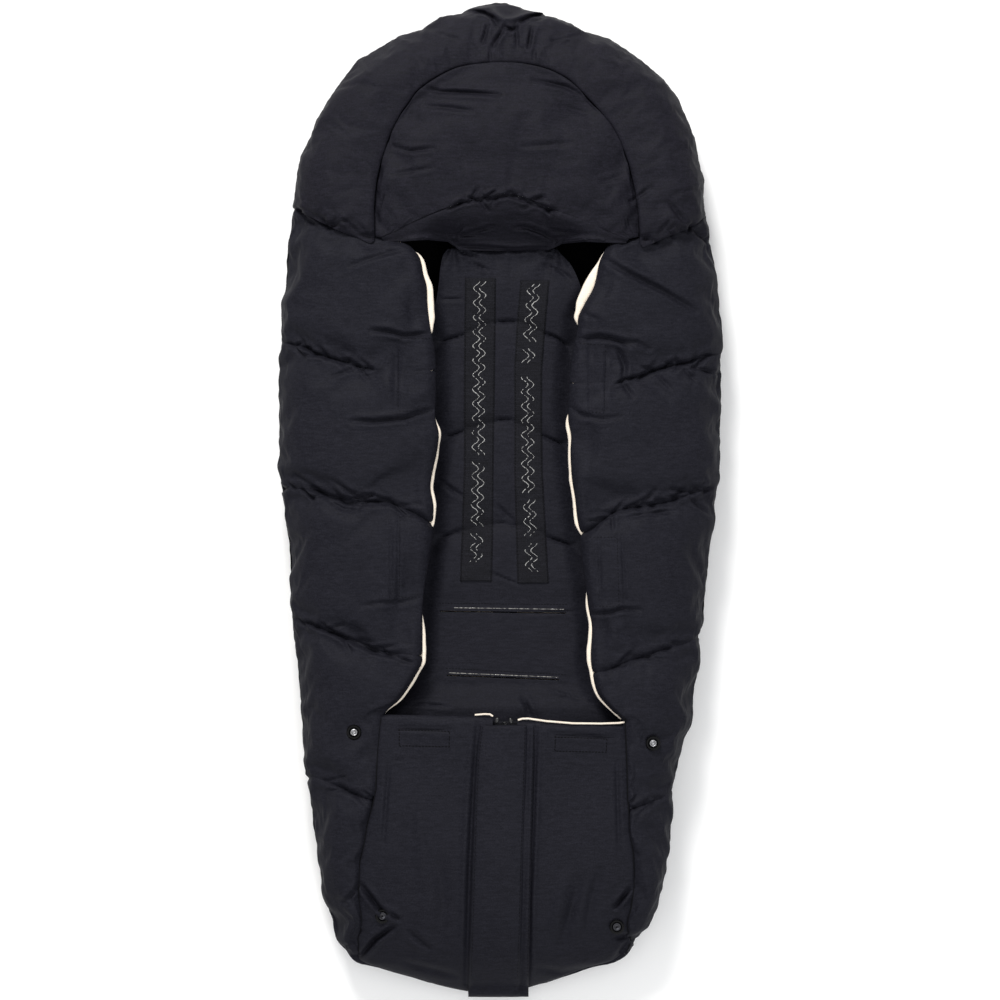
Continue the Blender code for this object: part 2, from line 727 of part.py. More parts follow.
def extruded(name, outline, bottom, top, material):
    """A flat piece from an outline in the ground plane."""
    mesh = bmesh.new()
    face = mesh.faces.new([mesh.verts.new((x, y, bottom)) for x, y in outline])
    raised = bmesh.ops.extrude_face_region(mesh, geom=[face])["geom"]
    bmesh.ops.translate(
        mesh, vec=(0, 0, top - bottom), verts=[g for g in raised if isinstance(g, bmesh.types.BMVert)]
    )
    bmesh.ops.recalc_face_normals(mesh, faces=mesh.faces)
    data = bpy.data.meshes.new(name)
    mesh.to_mesh(data)
    mesh.free()
    return mesh_object(name, data, material)


def rounded(x, y, long, wide, corner, steps=4):
    """Outline of a rectangle with round corners: x, y is its middle, long runs along X."""
    points = []
    for i, (sx, sy) in enumerate(((1, 1), (-1, 1), (-1, -1), (1, -1))):
        for j in range(steps + 1):
            turn = math.pi / 2 * (i + j / steps)
            points.append(
                (
                    x + sx * (long / 2 - corner) + corner * math.cos(turn),
                    y + sy * (wide / 2 - corner) + corner * math.sin(turn),
                )
            )
    return points


def build_slots(panel, lining):
    """The crotch-strap slots: bound openings right through the back panel and its lining."""
    for level, place in SLOT_FROM_TOP.items():
        y, wide = along(place), SLOT_WIDTH[level]
        long, tall = wide + 2 * SLOT_RIM, SLOT_GAP + 2 * SLOT_RIM
        binding = strip_along(
            f"{level}_slot_binding", always(SLOT_X - long / 2), always(SLOT_X + long / 2),
            y + tall / 2, y - tall / 2, lambda x, y: back_top(x, y) + CLEAR + CLOTH, CLOTH, "silicone",
            None, 6, 2,
        )
        cutter = extruded(
            f"{level}_slot_cutter", rounded(SLOT_X, y, wide, SLOT_GAP, SLOT_GAP / 3),
            BACK_Z - 2 * BACK_PAD, BACK_Z + 2 * BACK_PAD, "tape",
        )
        for obj in (binding, panel, lining):
            cut_by(obj, cutter)


def straight_run(level, y_from, y_to):
    """Places along a straight zip: a function of the share along it and the depth under the crown."""

    def place(v, x, depth):
        y = y_from + (y_to - y_from) * v
        return (x, y, level(x, y, depth))

    return place


def wrapped_run(y_from, y_end):
    """Places along a zip that goes round the foot end, from the upper side to the lower one."""
    corner = y_end + END_ROUND
    end_share = ZIP_STRAIGHT_ROWS / WRAPPED_ROWS

    def place(v, x, depth):
        straight = min(v, 1 - v) / end_share
        half = height(corner) / 2
        if straight < 1:
            y = y_from + (corner - y_from) * math.sin(math.pi / 2 * straight)
            z = height(y) - depth
            return (x, y, z if v < 0.5 else height(y) - z)
        turn = math.pi * (v - end_share) / (1 - 2 * end_share)
        reach = END_ROUND - max(0, depth - placket_depth(x))
        y = corner - reach * power(math.sin(turn))
        return (x, y, half + (half - depth) * math.copysign(power(math.cos(turn)), math.cos(turn)))

    return place


def layer(name, place, x_of, depth_of, thick, material, rows, across=2, parent=None):
    def surface(extra):
        def point(u, v):
            x = x_of(u, v)
            return place(v, x, depth_of(x) + extra)

        return point

    return closed_sheet(name, across, rows, surface(0), surface(thick), material, parent)


def build_zip(prefix, place, rows, parent=None):
    """The zip's two tapes, each with the bead of its coil along its edge."""
    for side in ("left", "right"):
        hand = hand_of(side)
        columns = (TEETH_GAP / 2, TEETH_WIDTH / 2, TEETH_WIDTH / 2 + CLEAR, ZIP_GAP_HALF - CLEAR)

        def surface(outward):
            def point(u, v):
                column = round(u * 3)
                swell = (TEETH_HEIGHT - TAPE_THICK) / 2 if column < 2 else 0
                depth = ZIP_DEPTH - swell if outward else ZIP_DEPTH + TAPE_THICK + swell
                return place(v, ZIP_X + hand * columns[column], depth)

            return point

        closed_sheet(f"{prefix}_{side}_zip_tape", 3, rows, surface(True), surface(False), "tape", parent)


def placket_depth(x):
    across = (x - PLACKET_FREE_X) / (PLACKET_SEWN_X - PLACKET_FREE_X)
    return QUILT_DENT - CLEAR - PLACKET_THICK - PLACKET_RIDGE * math.sin(math.pi * min(max(across, 0), 1))


def build_placket(name, place, rows, parent=None):
    def x_of(u, v):
        return PLACKET_FREE_X + (PLACKET_SEWN_X - PLACKET_FREE_X) * u

    layer(name, place, x_of, placket_depth, PLACKET_THICK, "shell", rows, 6, parent)


def build_zips(fold_parent):
    fold, opening = along(FOLD_FROM_TOP), along(FOOT_OPENING_FROM_TOP)
    neck = along(NECKLINE_FROM_TOP)
    back = straight_run(over, opening - CLOTH, fold + CLEAR)
    foot = wrapped_run(fold - CLEAR, -TOP_Y)
    build_zip("back", back, 6)
    build_zip("front", straight_run(under, neck, fold + CLEAR), 10)
    build_zip("foot", foot, WRAPPED_ROWS, fold_parent)
    build_placket("back_placket", straight_run(over, along(PLACKET_TOP_FROM_TOP), fold + CLEAR), 6)
    build_placket("foot_placket", foot, WRAPPED_ROWS, fold_parent)


def turned(name, profile, x, y, z, material, parent=None, steps=16):
    """A turned ring or button from its closed profile of radius and height."""
    mesh = bmesh.new()
    loop = [mesh.verts.new((radius, 0, rise)) for radius, rise in profile]
    edges = [mesh.edges.new(pair) for pair in zip(loop, loop[1:] + loop[:1])]
    bmesh.ops.spin(
        mesh, geom=loop + edges, cent=(0, 0, 0), axis=(0, 0, 1), angle=2 * math.pi, steps=steps,
        use_merge=True, use_duplicate=False,
    )
    bmesh.ops.remove_doubles(mesh, verts=mesh.verts, dist=CLEAR / 30)
    bmesh.ops.recalc_face_normals(mesh, faces=mesh.faces)
    data = bpy.data.meshes.new(name)
    mesh.to_mesh(data)
    mesh.free()
    obj = mesh_object(name, data, material)
    obj.location = (x, y, z)
    if parent is not None:
        obj.parent = parent
        obj.location = (x - parent.location.x, y - parent.location.y, z - parent.location.z)
    return obj


def seat_height(objects, x, y, radius):
    """The highest point of the cloth under a round piece."""
    graph = bpy.context.evaluated_depsgraph_get()
    found = []
    for obj in objects:
        shift = obj.matrix_world.translation
        for i in range(13):
            turn, reach = math.pi / 3 * i, radius * min(i, 2) / 2
            start = (
                x + reach * math.cos(turn) - shift.x,
                y + reach * math.sin(turn) - shift.y,
                2 * HEIGHT - shift.z,
            )
            hit, where, _, _ = obj.ray_cast(start, (0, 0, -1), depsgraph=graph)
            if hit:
                found.append(where.z + shift.z)
    return max(found)


def build_snaps(fold_parent):
    bpy.context.view_layer.update()
    rim, tall = SNAP_RIM, SNAP_HEIGHT
    ring = (
        (SNAP_BORE, 0), (SNAP_RADIUS, 0), (SNAP_RADIUS, tall / 2), (SNAP_RADIUS - rim / 2, tall),
        (SNAP_BORE + rim / 2, tall), (SNAP_BORE, tall / 2),
    )
    core = SNAP_CORE_RADIUS
    socket = ((core / 2, 0), (core, 0), (core, SNAP_CORE_HEIGHT), (core * 0.6, SNAP_CORE_HEIGHT), (core / 2, tall / 2))
    stud_tip = core * 0.75
    stud = (
        (core / 4, 0), (core, 0), (core, tall / 2), (stud_tip * 0.8, tall / 2),
        (stud_tip, SNAP_CORE_HEIGHT), (core / 4, SNAP_CORE_HEIGHT + rim / 4),
    )
    for name, (x, place) in SNAPS.items():
        y = along(place)
        level, side = name.split("_")
        lower = level == "lower"
        parent = fold_parent if lower else None
        names = ("foot_side_panel", "foot_end_panel") if lower else ("side_panel", "foot_panel")
        cloth = [bpy.data.objects[f"{side}_{piece}"] for piece in names]
        z = seat_height(cloth, x, y, SNAP_RADIUS) + CLEAR
        turned(f"{name}_snap_ring", ring, x, y, z, "steel", parent)
        kind, profile = ("stud", stud) if lower else ("socket", socket)
        turned(f"{name}_snap_{kind}", profile, x, y, z, "nickel", parent)


def slider_outline(share):
    """Half-drawn shield outline of a slider's plate, wide where the tapes part."""
    wide, long = SLIDER_WIDTH / 2 * share, SLIDER_LENGTH / 2 * share
    right = ((0, long), (wide * 0.6, long * 0.96), (wide, long * 0.4), (wide * 0.8, -long * 0.5), (wide * 0.4, -long))
    return list(right) + [(-x, y) for x, y in reversed(right[1:])]


def ring_bar(name, radius, bar, material):
    """A half ring of round bar, standing along Y, its feet on the ground plane."""
    curve = bpy.data.curves.new(name, "CURVE")
    curve.dimensions = "3D"
    curve.bevel_depth = bar
    curve.bevel_resolution = 1
    curve.use_fill_caps = True
    spline = curve.splines.new("POLY")
    steps = 8
    spline.points.add(steps)
    for i, point in enumerate(spline.points):
        turn = math.pi * i / steps
        point.co = (0, radius * math.cos(turn), -radius * math.sin(turn), 1)
    obj = bpy.data.objects.new(name, curve)
    bpy.context.scene.collection.objects.link(obj)
    mesh = bpy.data.meshes.new_from_object(obj)
    bpy.data.objects.remove(obj)
    return mesh_object(name, mesh, material)


def build_slider():
    """The zip's slider on the front, its two plates joined by a blade between the teeth, and its puller."""
    y = along(NECKLINE_FROM_TOP) - SLIDER_LENGTH
    swell = (TEETH_HEIGHT - TAPE_THICK) / 2
    outer = ZIP_DEPTH - swell - CLEAR
    inner = ZIP_DEPTH + TAPE_THICK + swell + CLEAR
    outline = slider_outline(1)
    blade = rounded(0, 0, TEETH_GAP - 2 * CLEAR, SLIDER_LENGTH / 2, (TEETH_GAP - 2 * CLEAR) / 3)
    slider = extruded("zip_slider", outline, outer - SLIDER_PLATE, outer, "steel")
    parts = [
        extruded("slider_inner_plate", outline, inner, inner + SLIDER_PLATE, "steel"),
        extruded("slider_blade", blade, outer - SLIDER_PLATE / 2, inner + SLIDER_PLATE / 2, "steel"),
        ring_bar("slider_bail", BAIL_RADIUS, BAIL_BAR, "steel"),
    ]
    face = outer - SLIDER_PLATE
    parts[2].location = (0, 0, face + BAIL_BAR / 2)
    for part in parts:
        join_to(slider, part)
        part.parent = slider
    slider.location = (ZIP_X, y, 0)
    hinge_z = face - (BAIL_RADIUS - BAIL_BAR) / 2
    puller_y = (PULLER_BAR - PULLER_LENGTH) / 2
    puller = extruded(
        "zip_puller", rounded(0, puller_y, PULLER_WIDTH, PULLER_LENGTH, PULLER_BAR / 2),
        -PULLER_THICK / 2, PULLER_THICK / 2, "steel",
    )
    eye_wide, eye_long = PULLER_EYE
    eye = extruded(
        "puller_eye", rounded(0, -(PULLER_BAR + eye_long) / 2, eye_wide, eye_long, eye_wide / 3),
        -PULLER_THICK, PULLER_THICK, "steel",
    )
    cut_by(puller, eye)
    eye.parent = puller
    puller.location = (ZIP_X, y, hinge_z)


def folding_parent(name, x, y, z):
    """An empty on a joint's axis, which the moving pieces hang from."""
    empty = bpy.data.objects.new(name, None)
    empty.location = (x, y, z)
    empty.empty_display_size = PAD
    bpy.context.scene.collection.objects.link(empty)
    return empty


def make_materials():
    for name, (colour, roughness, metallic) in COLOURS.items():
        material = bpy.data.materials.new(name)
        material.use_nodes = True
        shader = material.node_tree.nodes["Principled BSDF"]
        shader.inputs["Base Color"].default_value = (*colour, 1)
        shader.inputs["Roughness"].default_value = roughness
        shader.inputs["Metallic"].default_value = metallic
        material.diffuse_color = (*colour, 1)
        MATERIALS[name] = material


def main():
    for obj in list(bpy.data.objects):
        bpy.data.objects.remove(obj)
    make_materials()
    fold_y = along(FOLD_FROM_TOP)
    fold = folding_parent("foot_fold", 0, fold_y, height(fold_y))
    for side in ("left", "right"):
        hinge = folding_parent(f"{side}_wing_hinge", hand_of(side) * HALF_WIDTH, 0, HEIGHT / 2)
        build_wing(side, hinge)
        build_side_panels(side, fold)
        build_front(side, fold)
        build_foot_panels(side, fold)
        build_strip(side)
    build_hood_patch(build_hood_rim())
    build_arch_panel()
    build_yoke()
    build_slots(*build_back())
    build_zips(fold)
    build_snaps(fold)
    build_slider()


main()
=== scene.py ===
import math

import bmesh
import bpy
import numpy as np
from mathutils import Matrix, Vector
from mathutils.bvhtree import BVHTree


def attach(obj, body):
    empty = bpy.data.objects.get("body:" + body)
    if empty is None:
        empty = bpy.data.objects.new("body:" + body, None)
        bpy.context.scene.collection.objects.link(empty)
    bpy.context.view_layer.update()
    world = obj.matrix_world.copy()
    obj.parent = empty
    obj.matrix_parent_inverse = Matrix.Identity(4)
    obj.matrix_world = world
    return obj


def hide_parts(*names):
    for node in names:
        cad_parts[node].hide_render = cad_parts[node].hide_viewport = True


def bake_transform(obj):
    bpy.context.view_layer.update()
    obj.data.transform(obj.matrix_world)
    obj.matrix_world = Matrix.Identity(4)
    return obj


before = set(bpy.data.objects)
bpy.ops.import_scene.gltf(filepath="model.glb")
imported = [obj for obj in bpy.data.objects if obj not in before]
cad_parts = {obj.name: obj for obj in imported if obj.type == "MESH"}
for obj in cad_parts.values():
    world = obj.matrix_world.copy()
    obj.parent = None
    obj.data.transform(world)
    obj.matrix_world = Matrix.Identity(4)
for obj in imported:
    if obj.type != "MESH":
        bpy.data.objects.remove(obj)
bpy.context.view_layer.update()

# Sizes, in millimetres. A place y is the frame's own, and a distance d is measured from the hood's end
# Place of the hood's end, the whole length, the height of the crown, and the place where the foot end folds
HOOD_Y = 498.5
LONG = 997
CROWN = 104.0
FOLD = -330.0
# Spacing of the side cells' points
CELL = 5.2
# Thickness of a padded piece at its seams, and what its wadding adds
SEAM_THICK, WADDING = 5, 11
# A quilt seam draws the cloth in: how deep, and how far from the seam
SEAM_DIPS = ((5.0, 9), (4.0, 38))
# How deep the front's seams lie under its crown
QUILT = 11.0
# Lowest place of any cloth over the floor
FLOOR_GAP = 0.3
# Roundness of the object's cross-section: 2 is an ellipse
POWER = 2.5
HANDS = {"left": -1, "right": 1}

# Half width on each side by distance from the hood's end
OUTLINE_LEFT = (
    (0, 6), (3, 20), (11, 38), (15, 60), (28, 78), (35, 102), (60, 143), (80, 158), (100, 173), (120, 185),
    (136, 190), (155, 198), (172, 202), (190, 204), (207, 205.5), (226, 209), (250, 213), (289, 215),
    (305, 218), (330, 218.5), (343, 217.5), (361, 220), (400, 221.5), (465, 221.5), (482, 218.5), (500, 217),
    (514, 215.5), (546, 211.5), (600, 209), (617, 207), (640, 205), (680, 202), (721, 199), (758, 196.5),
    (776, 193), (802, 189.5), (843, 184.5), (884, 178.5), (919, 169), (939, 163), (951, 154), (963, 144),
    (970, 122), (980, 88), (988, 62), (994, 34), (997, 12),
)
OUTLINE_RIGHT = (
    (0, 6), (3, 16), (10, 36), (15, 55), (22, 73), (30, 85), (37, 108), (48, 124), (61, 143), (80, 164),
    (99, 179), (118, 187), (137, 194), (156, 197.5), (179, 203), (195, 202), (210, 203.5), (230, 208),
    (251, 212), (280, 217), (308, 220), (335, 222), (350, 221.5), (358, 219.5), (375, 221.5), (405, 222),
    (450, 219.5), (480, 218.5), (490, 215.5), (520, 214), (560, 209), (600, 205.5), (620, 203.5), (637, 199),
    (655, 200.5), (690, 195), (721, 191.5), (741, 184.5), (775, 176.5), (790, 173), (802, 173), (827, 171.5),
    (867, 166.5), (900, 159), (925, 149), (939, 137), (951, 130), (962, 116), (969, 92), (980, 62), (990, 30),
    (997, 10),
)
# Quilt seams of each side: distance from the middle, distance from the hood's end
SEAMS = {
    "left": {
        "A": ((60, 248), (92, 245), (124, 239), (138, 234), (158, 228), (172, 223), (191, 214), (205, 207)),
        "B": ((50, 371), (90, 372), (124, 371), (138, 368), (158, 362), (181, 355), (197, 347), (216, 343)),
        "C": ((50, 529), (67, 524), (81, 515), (99, 507), (113, 502), (146, 501), (167, 496), (186, 490),
              (210, 488), (219, 482)),
        "D": ((70, 655), (83, 654), (107, 652), (126, 647), (146, 639), (167, 632), (188, 624), (207, 617)),
        "E": ((110, 801), (126, 798), (144, 792), (162, 784), (179, 778), (194, 774)),
        "F": ((0, 990), (60, 984), (110, 972), (140, 962)),
    },
    "right": {
        "A": ((60, 248), (112, 245), (132, 241), (153, 236), (166, 232), (188, 226), (204, 216)),
        "B": ((50, 384), (90, 384), (123, 380), (139, 377), (151, 372), (169, 367), (187, 363), (204, 356),
              (218, 354)),
        "C": ((50, 540), (83, 533), (102, 520), (118, 510), (143, 506), (169, 501), (191, 493), (214, 486)),
        "D": ((70, 676), (92, 672), (108, 668), (124, 661), (140, 656), (161, 649), (180, 644), (200, 637)),
        "E": ((110, 813), (127, 808), (143, 803), (155, 799), (174, 792)),
        "F": ((0, 990), (60, 984), (100, 968), (120, 960)),
    },
}
# A wing's free edge: distance from the hood's end, distance from the middle
WING_EDGE = {
    "left": (
        (240, 94), (248, 90), (256, 82), (264, 79), (276, 77), (288, 73.5), (302, 73), (322, 71), (335, 68.5),
        (345, 66), (371, 64), (390, 64), (417, 65), (434, 61), (452, 63), (465, 66), (488, 70), (505, 66.5),
        (521, 67), (540, 68), (565, 72), (588, 76), (611, 78), (659, 78), (674, 85), (687, 93), (699, 102),
        (712, 117), (720, 119),
    ),
    "right": (
        (240, 112), (250, 107), (264, 100), (277, 97.5), (290, 94), (300, 88), (311, 82), (320, 78), (327, 78),
        (339, 76), (352, 73), (371, 70.5), (390, 69), (419, 68), (438, 71.5), (450, 70.5), (479, 72), (496, 75),
        (521, 78), (530, 80), (557, 82), (584, 86), (607, 89), (628, 93), (657, 91.5), (676, 94), (691, 98),
        (712, 116), (720, 124),
    ),
}
# Seam between a side panel and the foot panel: distance from the hood's end, distance from the middle
SIDE_SEAM = {
    "left": ((714, 118), (741, 120), (762, 122), (794, 124), (823, 131), (845, 135), (864, 139), (896, 140),
             (921, 138), (940, 141), (958, 140), (980, 90)),
    "right": ((714, 124), (762, 126), (802, 127), (827, 128), (855, 132), (884, 133), (904, 131), (925, 127),
              (940, 130), (955, 124), (980, 62)),
}
# Arch seam of the hood, from its left end over the top: across, distance from the hood's end
ARCH = (
    (-124, 239), (-124, 223), (-124.5, 207), (-122, 183), (-118, 163), (-113, 148), (-107, 132), (-97, 113),
    (-83, 94), (-73, 86), (-59, 77), (-44, 70), (-30, 67), (-11, 65.5), (0, 65), (21, 65.5), (41, 69),
    (56, 74.5), (69, 82), (81, 94), (96, 110), (111, 128), (120, 145), (128, 167), (132.5, 188), (136, 207),
    (137.5, 225), (138, 239),
)
# Upper and lower edge of the gathered yoke, from left to right: across, distance from the hood's end
YOKE_ARC = (
    (-118, 240), (-100, 231), (-87, 224), (-64, 214), (-51, 209), (-31, 203), (-8, 198), (9, 196), (26, 200),
    (51, 211), (80, 221), (104, 232), (128, 241),
)
YOKE_LOW = (
    (-116, 243), (-92, 241.5), (-72, 240), (-52, 241), (-46, 245), (-41, 249), (0, 250), (49, 249),
    (55, 246.5), (62, 243), (84, 242), (104, 243), (126, 244),
)
# Thickness along the object: share of its length, share of the crown
THICKNESS = (
    (0, 0.36), (0.03, 0.62), (0.09, 0.84), (0.2, 0.97), (0.34, 1), (0.84, 1), (0.9, 0.91), (0.95, 0.74),
    (0.98, 0.52), (1, 0.3),
)


# Shape of the whole
def curve_through(points):
    """A smooth curve through (place, value) points that never overshoots them."""
    place, value = np.array(points, float).T
    step = np.diff(place)
    rise = np.diff(value) / step
    tangent = np.zeros_like(value)
    same = rise[:-1] * rise[1:] > 0
    tangent[1:-1][same] = 2 * rise[:-1][same] * rise[1:][same] / (rise[:-1][same] + rise[1:][same])
    tangent[0], tangent[-1] = rise[0], rise[-1]

    def at(x):
        """Value of the curve at a place."""
        x = np.clip(x, place[0], place[-1])
        i = np.clip(np.searchsorted(place, x) - 1, 0, len(step) - 1)
        s = (x - place[i]) / step[i]
        start = value[i] * (1 + 2 * s) * (1 - s) ** 2 + step[i] * tangent[i] * s * (1 - s) ** 2
        end = value[i + 1] * s * s * (3 - 2 * s) + step[i] * tangent[i + 1] * s * s * (s - 1)
        return start + end

    return at


HALF = {"left": curve_through(OUTLINE_LEFT), "right": curve_through(OUTLINE_RIGHT)}
THICK = curve_through(THICKNESS)
EDGE = {side: curve_through(WING_EDGE[side]) for side in WING_EDGE}
PANEL_SEAM = {side: curve_through(SIDE_SEAM[side]) for side in SIDE_SEAM}
SEAM = {side: {key: curve_through(points) for key, points in seams.items()} for side, seams in SEAMS.items()}


def down(y):
    """Distance from the hood's end of a place y."""
    return HOOD_Y - y


def half_width(side, y):
    """Half width of one side at a place y."""
    return HALF[side](down(y))


def height(y):
    """Height of the whole over the floor at a place y."""
    return CROWN * THICK(down(y) / LONG)


def crown(x, y):
    """Height of the padded upper surface over a point."""
    x, y = np.broadcast_arrays(np.asarray(x, float), np.asarray(y, float))
    wide = np.where(x < 0, half_width("left", y), half_width("right", y))
    tall = height(y)
    rise = np.clip(1 - (np.abs(x) / wide) ** POWER, 0, 1) ** (1 / POWER)
    return tall / 2 * (1 + rise)


def ease(t):
    """A smooth step from 0 to 1."""
    t = np.clip(t, 0, 1)
    return t * t * (3 - 2 * t)


def puff(distance, reach):
    """How full the wadding is at a distance from a seam, from 0 to 1."""
    t = np.clip(distance / reach, 0, 1)
    return np.sqrt(1 - (1 - t) ** 2)


def ripple(x, y, cell, seed=0):
    """Smooth noise from -1 to 1 with features of one cell's size."""
    x, y = np.asarray(x, float) / cell + 31.7 * seed, np.asarray(y, float) / cell + 17.3 * seed
    i, j = np.floor(x), np.floor(y)
    u, v = ease(x - i), ease(y - j)

    def corner(a, b):
        """Random value of a cell's corner."""
        raw = np.sin(a * 127.1 + b * 311.7 + seed * 74.7) * 43758.5453
        return 2 * (raw - np.floor(raw)) - 1

    low = corner(i, j) * (1 - u) + corner(i + 1, j) * u
    high = corner(i, j + 1) * (1 - u) + corner(i + 1, j + 1) * u
    return low * (1 - v) + high * v


def strokes(x, d, lines):
    """How far creases sink the cloth: each has its depth, its width and the points that it passes."""
    sunk = np.zeros(np.broadcast(x, d).shape)
    x, d = x + 0 * sunk, d + 0 * sunk
    for depth, wide, *points in lines:
        points = np.array(points, float).reshape(-1, 2)
        low, high = points.min(0) - 5 * wide, points.max(0) + 5 * wide
        near = (x > low[0]) & (x < high[0]) & (d > low[1]) & (d < high[1])
        px, pd = x[near], d[near]
        best, share = np.full(px.shape, 1e9), np.zeros(px.shape)
        steps = np.linalg.norm(np.diff(points, axis=0), axis=1)
        done = 0.0
        for (ax, ad), (bx, bd), step in zip(points, points[1:], steps):
            t = np.clip(((px - ax) * (bx - ax) + (pd - ad) * (bd - ad)) / step**2, 0, 1)
            gap = np.hypot(px - ax - (bx - ax) * t, pd - ad - (bd - ad) * t)
            closer = gap < best
            best[closer], share[closer] = gap[closer], (done + t * step)[closer] / steps.sum()
            done += step
        swell = np.sin(math.pi * np.clip(share * 0.9 + 0.05, 0, 1)) ** 0.6
        dip = np.exp(-((best / wide) ** 2)) - 0.3 * np.exp(-(((best - 2.3 * wide) / (1.2 * wide)) ** 2))
        sunk[near] += 1.5 * depth * swell * dip
    return sunk


def pleats(line, seed, spacing=9.0, long=20.0, depth=1.5, lean=24.0):
    """Short creases that run out of a gathered seam to both sides, as strokes."""
    random = np.random.default_rng(seed)
    line = np.array(line, float)
    length = np.linalg.norm(np.diff(line, axis=0), axis=1).sum()
    found = []
    for share in np.arange(0.02, 0.98, spacing / length):
        share += random.uniform(-0.3, 0.3) * spacing / length
        a, b = along_line(line, np.array([share - 0.01, share + 0.01]))
        turn = math.atan2(b[1] - a[1], b[0] - a[0])
        turn += math.radians(random.choice((-1, 1)) * random.uniform(0.45, 1.6) * lean)
        reach = long * random.uniform(0.35, 1.25)
        start = (a + b) / 2
        end = start + reach * np.array([math.cos(turn), math.sin(turn)]) * random.choice((-1, 1))
        found.append((depth * random.uniform(0.4, 1.3), random.uniform(1.2, 2.2), *start, *end))
    return found


def along_line(points, shares):
    """Points at shares of the length along a line."""
    points = np.array(points, float)
    step = np.linalg.norm(np.diff(points, axis=0), axis=1)
    place = np.concatenate([[0], np.cumsum(step)])
    return np.stack([np.interp(shares * place[-1], place, points[:, i]) for i in range(points.shape[1])], -1)


# Materials
def linear(code):
    """A colour's hex code as the linear values that the shaders take."""
    parts = [int(code[i : i + 2], 16) / 255 for i in (0, 2, 4)]
    return [*(p / 12.92 if p <= 0.04045 else ((p + 0.055) / 1.055) ** 2.4 for p in parts), 1]


def add(tree, kind, inputs=None, **settings):
    """The outputs of a new node, with its inputs set, or linked where the value is another node's output."""
    node = tree.nodes.new(kind)
    for key, value in settings.items():
        setattr(node, key, value)
    for key, value in (inputs or {}).items():
        if isinstance(value, bpy.types.NodeSocket):
            tree.links.new(value, node.inputs[key])
        else:
            node.inputs[key].default_value = value
    return node.outputs


def surface(name, color, roughness, **inputs):
    """A Principled material: the material, its node tree, its shader and its object coordinates."""
    material = bpy.data.materials.new(name)
    material.use_nodes = True
    tree = material.node_tree
    shader = tree.nodes["Principled BSDF"]
    for key, value in {"Base Color": linear(color), "Roughness": roughness, **inputs}.items():
        shader.inputs[key.replace("_", " ")].default_value = value
    return material, tree, shader, add(tree, "ShaderNodeTexCoord")["Object"]


def noise(tree, place, scale, detail, roughness=0.5):
    """A noise texture's value, from 0 to 1."""
    return add(tree, "ShaderNodeTexNoise", {"Vector": place, "Scale": scale, "Detail": detail,
                                            "Roughness": roughness})["Fac"]


def woven(name, color, dark, roughness, thread, depth, sheen, sheen_color, shine=0.22):
    """Fabric of crossed threads. Two band textures cross for the weave, and a soft mottle follows the slubs."""
    material, tree, shader, place = surface(
        name, color, roughness, Sheen_Weight=sheen, Sheen_Roughness=0.45, Sheen_Tint=linear(sheen_color),
        Specular_IOR_Level=shine)
    warp, weft = (add(tree, "ShaderNodeTexWave",
                      {"Vector": place, "Scale": 1000 / thread / 6.3, "Distortion": 0.6, "Detail": 1.0,
                       "Detail Scale": 0.6}, bands_direction=way)["Fac"] for way in "XY")
    weave = add(tree, "ShaderNodeMath", {0: warp, 1: weft}, operation="MULTIPLY")["Value"]
    streak = add(tree, "ShaderNodeMapping", {"Vector": place, "Scale": (90, 520, 300)})["Vector"]
    slub = noise(tree, streak, 1.0, 4.0, 0.65)
    speck = noise(tree, place, 900.0, 2.0)
    mixed = add(tree, "ShaderNodeMath", {0: slub, 1: speck}, operation="MULTIPLY")["Value"]
    spread = add(tree, "ShaderNodeMapRange", {"Value": mixed, "From Min": 0.12, "From Max": 0.42})["Result"]
    tone = add(tree, "ShaderNodeMix", {"Factor": spread, 6: linear(dark), 7: linear(color)},
               data_type="RGBA")[2]
    gloss = add(tree, "ShaderNodeMapRange", {"Value": slub, "From Min": 0.3, "From Max": 0.7,
                                             "To Min": roughness - 0.07, "To Max": roughness + 0.09})["Result"]
    relief = add(tree, "ShaderNodeBump",
                 {"Height": weave, "Distance": depth * 0.001, "Strength": 0.5})["Normal"]
    for source, distance, strength in ((slub, 0.0004, 0.32), (noise(tree, place, 60.0, 3.0), 0.0018, 0.6)):
        relief = add(tree, "ShaderNodeBump", {"Height": source, "Distance": distance, "Strength": strength,
                                              "Normal": relief})["Normal"]
    for key, socket in (("Base Color", tone), ("Roughness", gloss), ("Normal", relief)):
        tree.links.new(socket, shader.inputs[key])
    return material


# Polyamide shell cloth, woven tight from slubbed yarn
shell_cloth = woven("black_slubbed_polyamide", "222229", "131319", 0.62, 0.7, 0.12, 0.0, "8088a0", 0.06)
# The same cloth on the hood, which the light shows a little warmer
hood_cloth = woven("black_hood_polyamide", "212028", "121217", 0.62, 0.7, 0.12, 0.0, "888894", 0.06)
# Brushed cotton jersey of the child's side
cream_jersey = woven("cream_brushed_jersey", "f2e7d8", "e6d8c6", 0.9, 0.9, 0.25, 0.5, "ffffff")
# Ribbed woven elastic: fine ribs across the tape
ribbed_tape = woven("black_ribbed_elastic", "212126", "121215", 0.8, 1.1, 0.35, 0.0, "808080", 0.06)
# Hook tape: short stiff hooks over a woven tape
hook_pile = woven("black_hook_pile", "151517", "0a0a0c", 0.85, 1.5, 0.6, 0.0, "505050", 0.05)
# Near-black knit of the pocket seen through the side openings, darker than the shell: painted shade of the deep
# openings
painted_shade_lining = woven("painted_shade_knit", "08080a", "040405", 0.9, 0.8, 0.2, 0.0, "505050", 0.02)


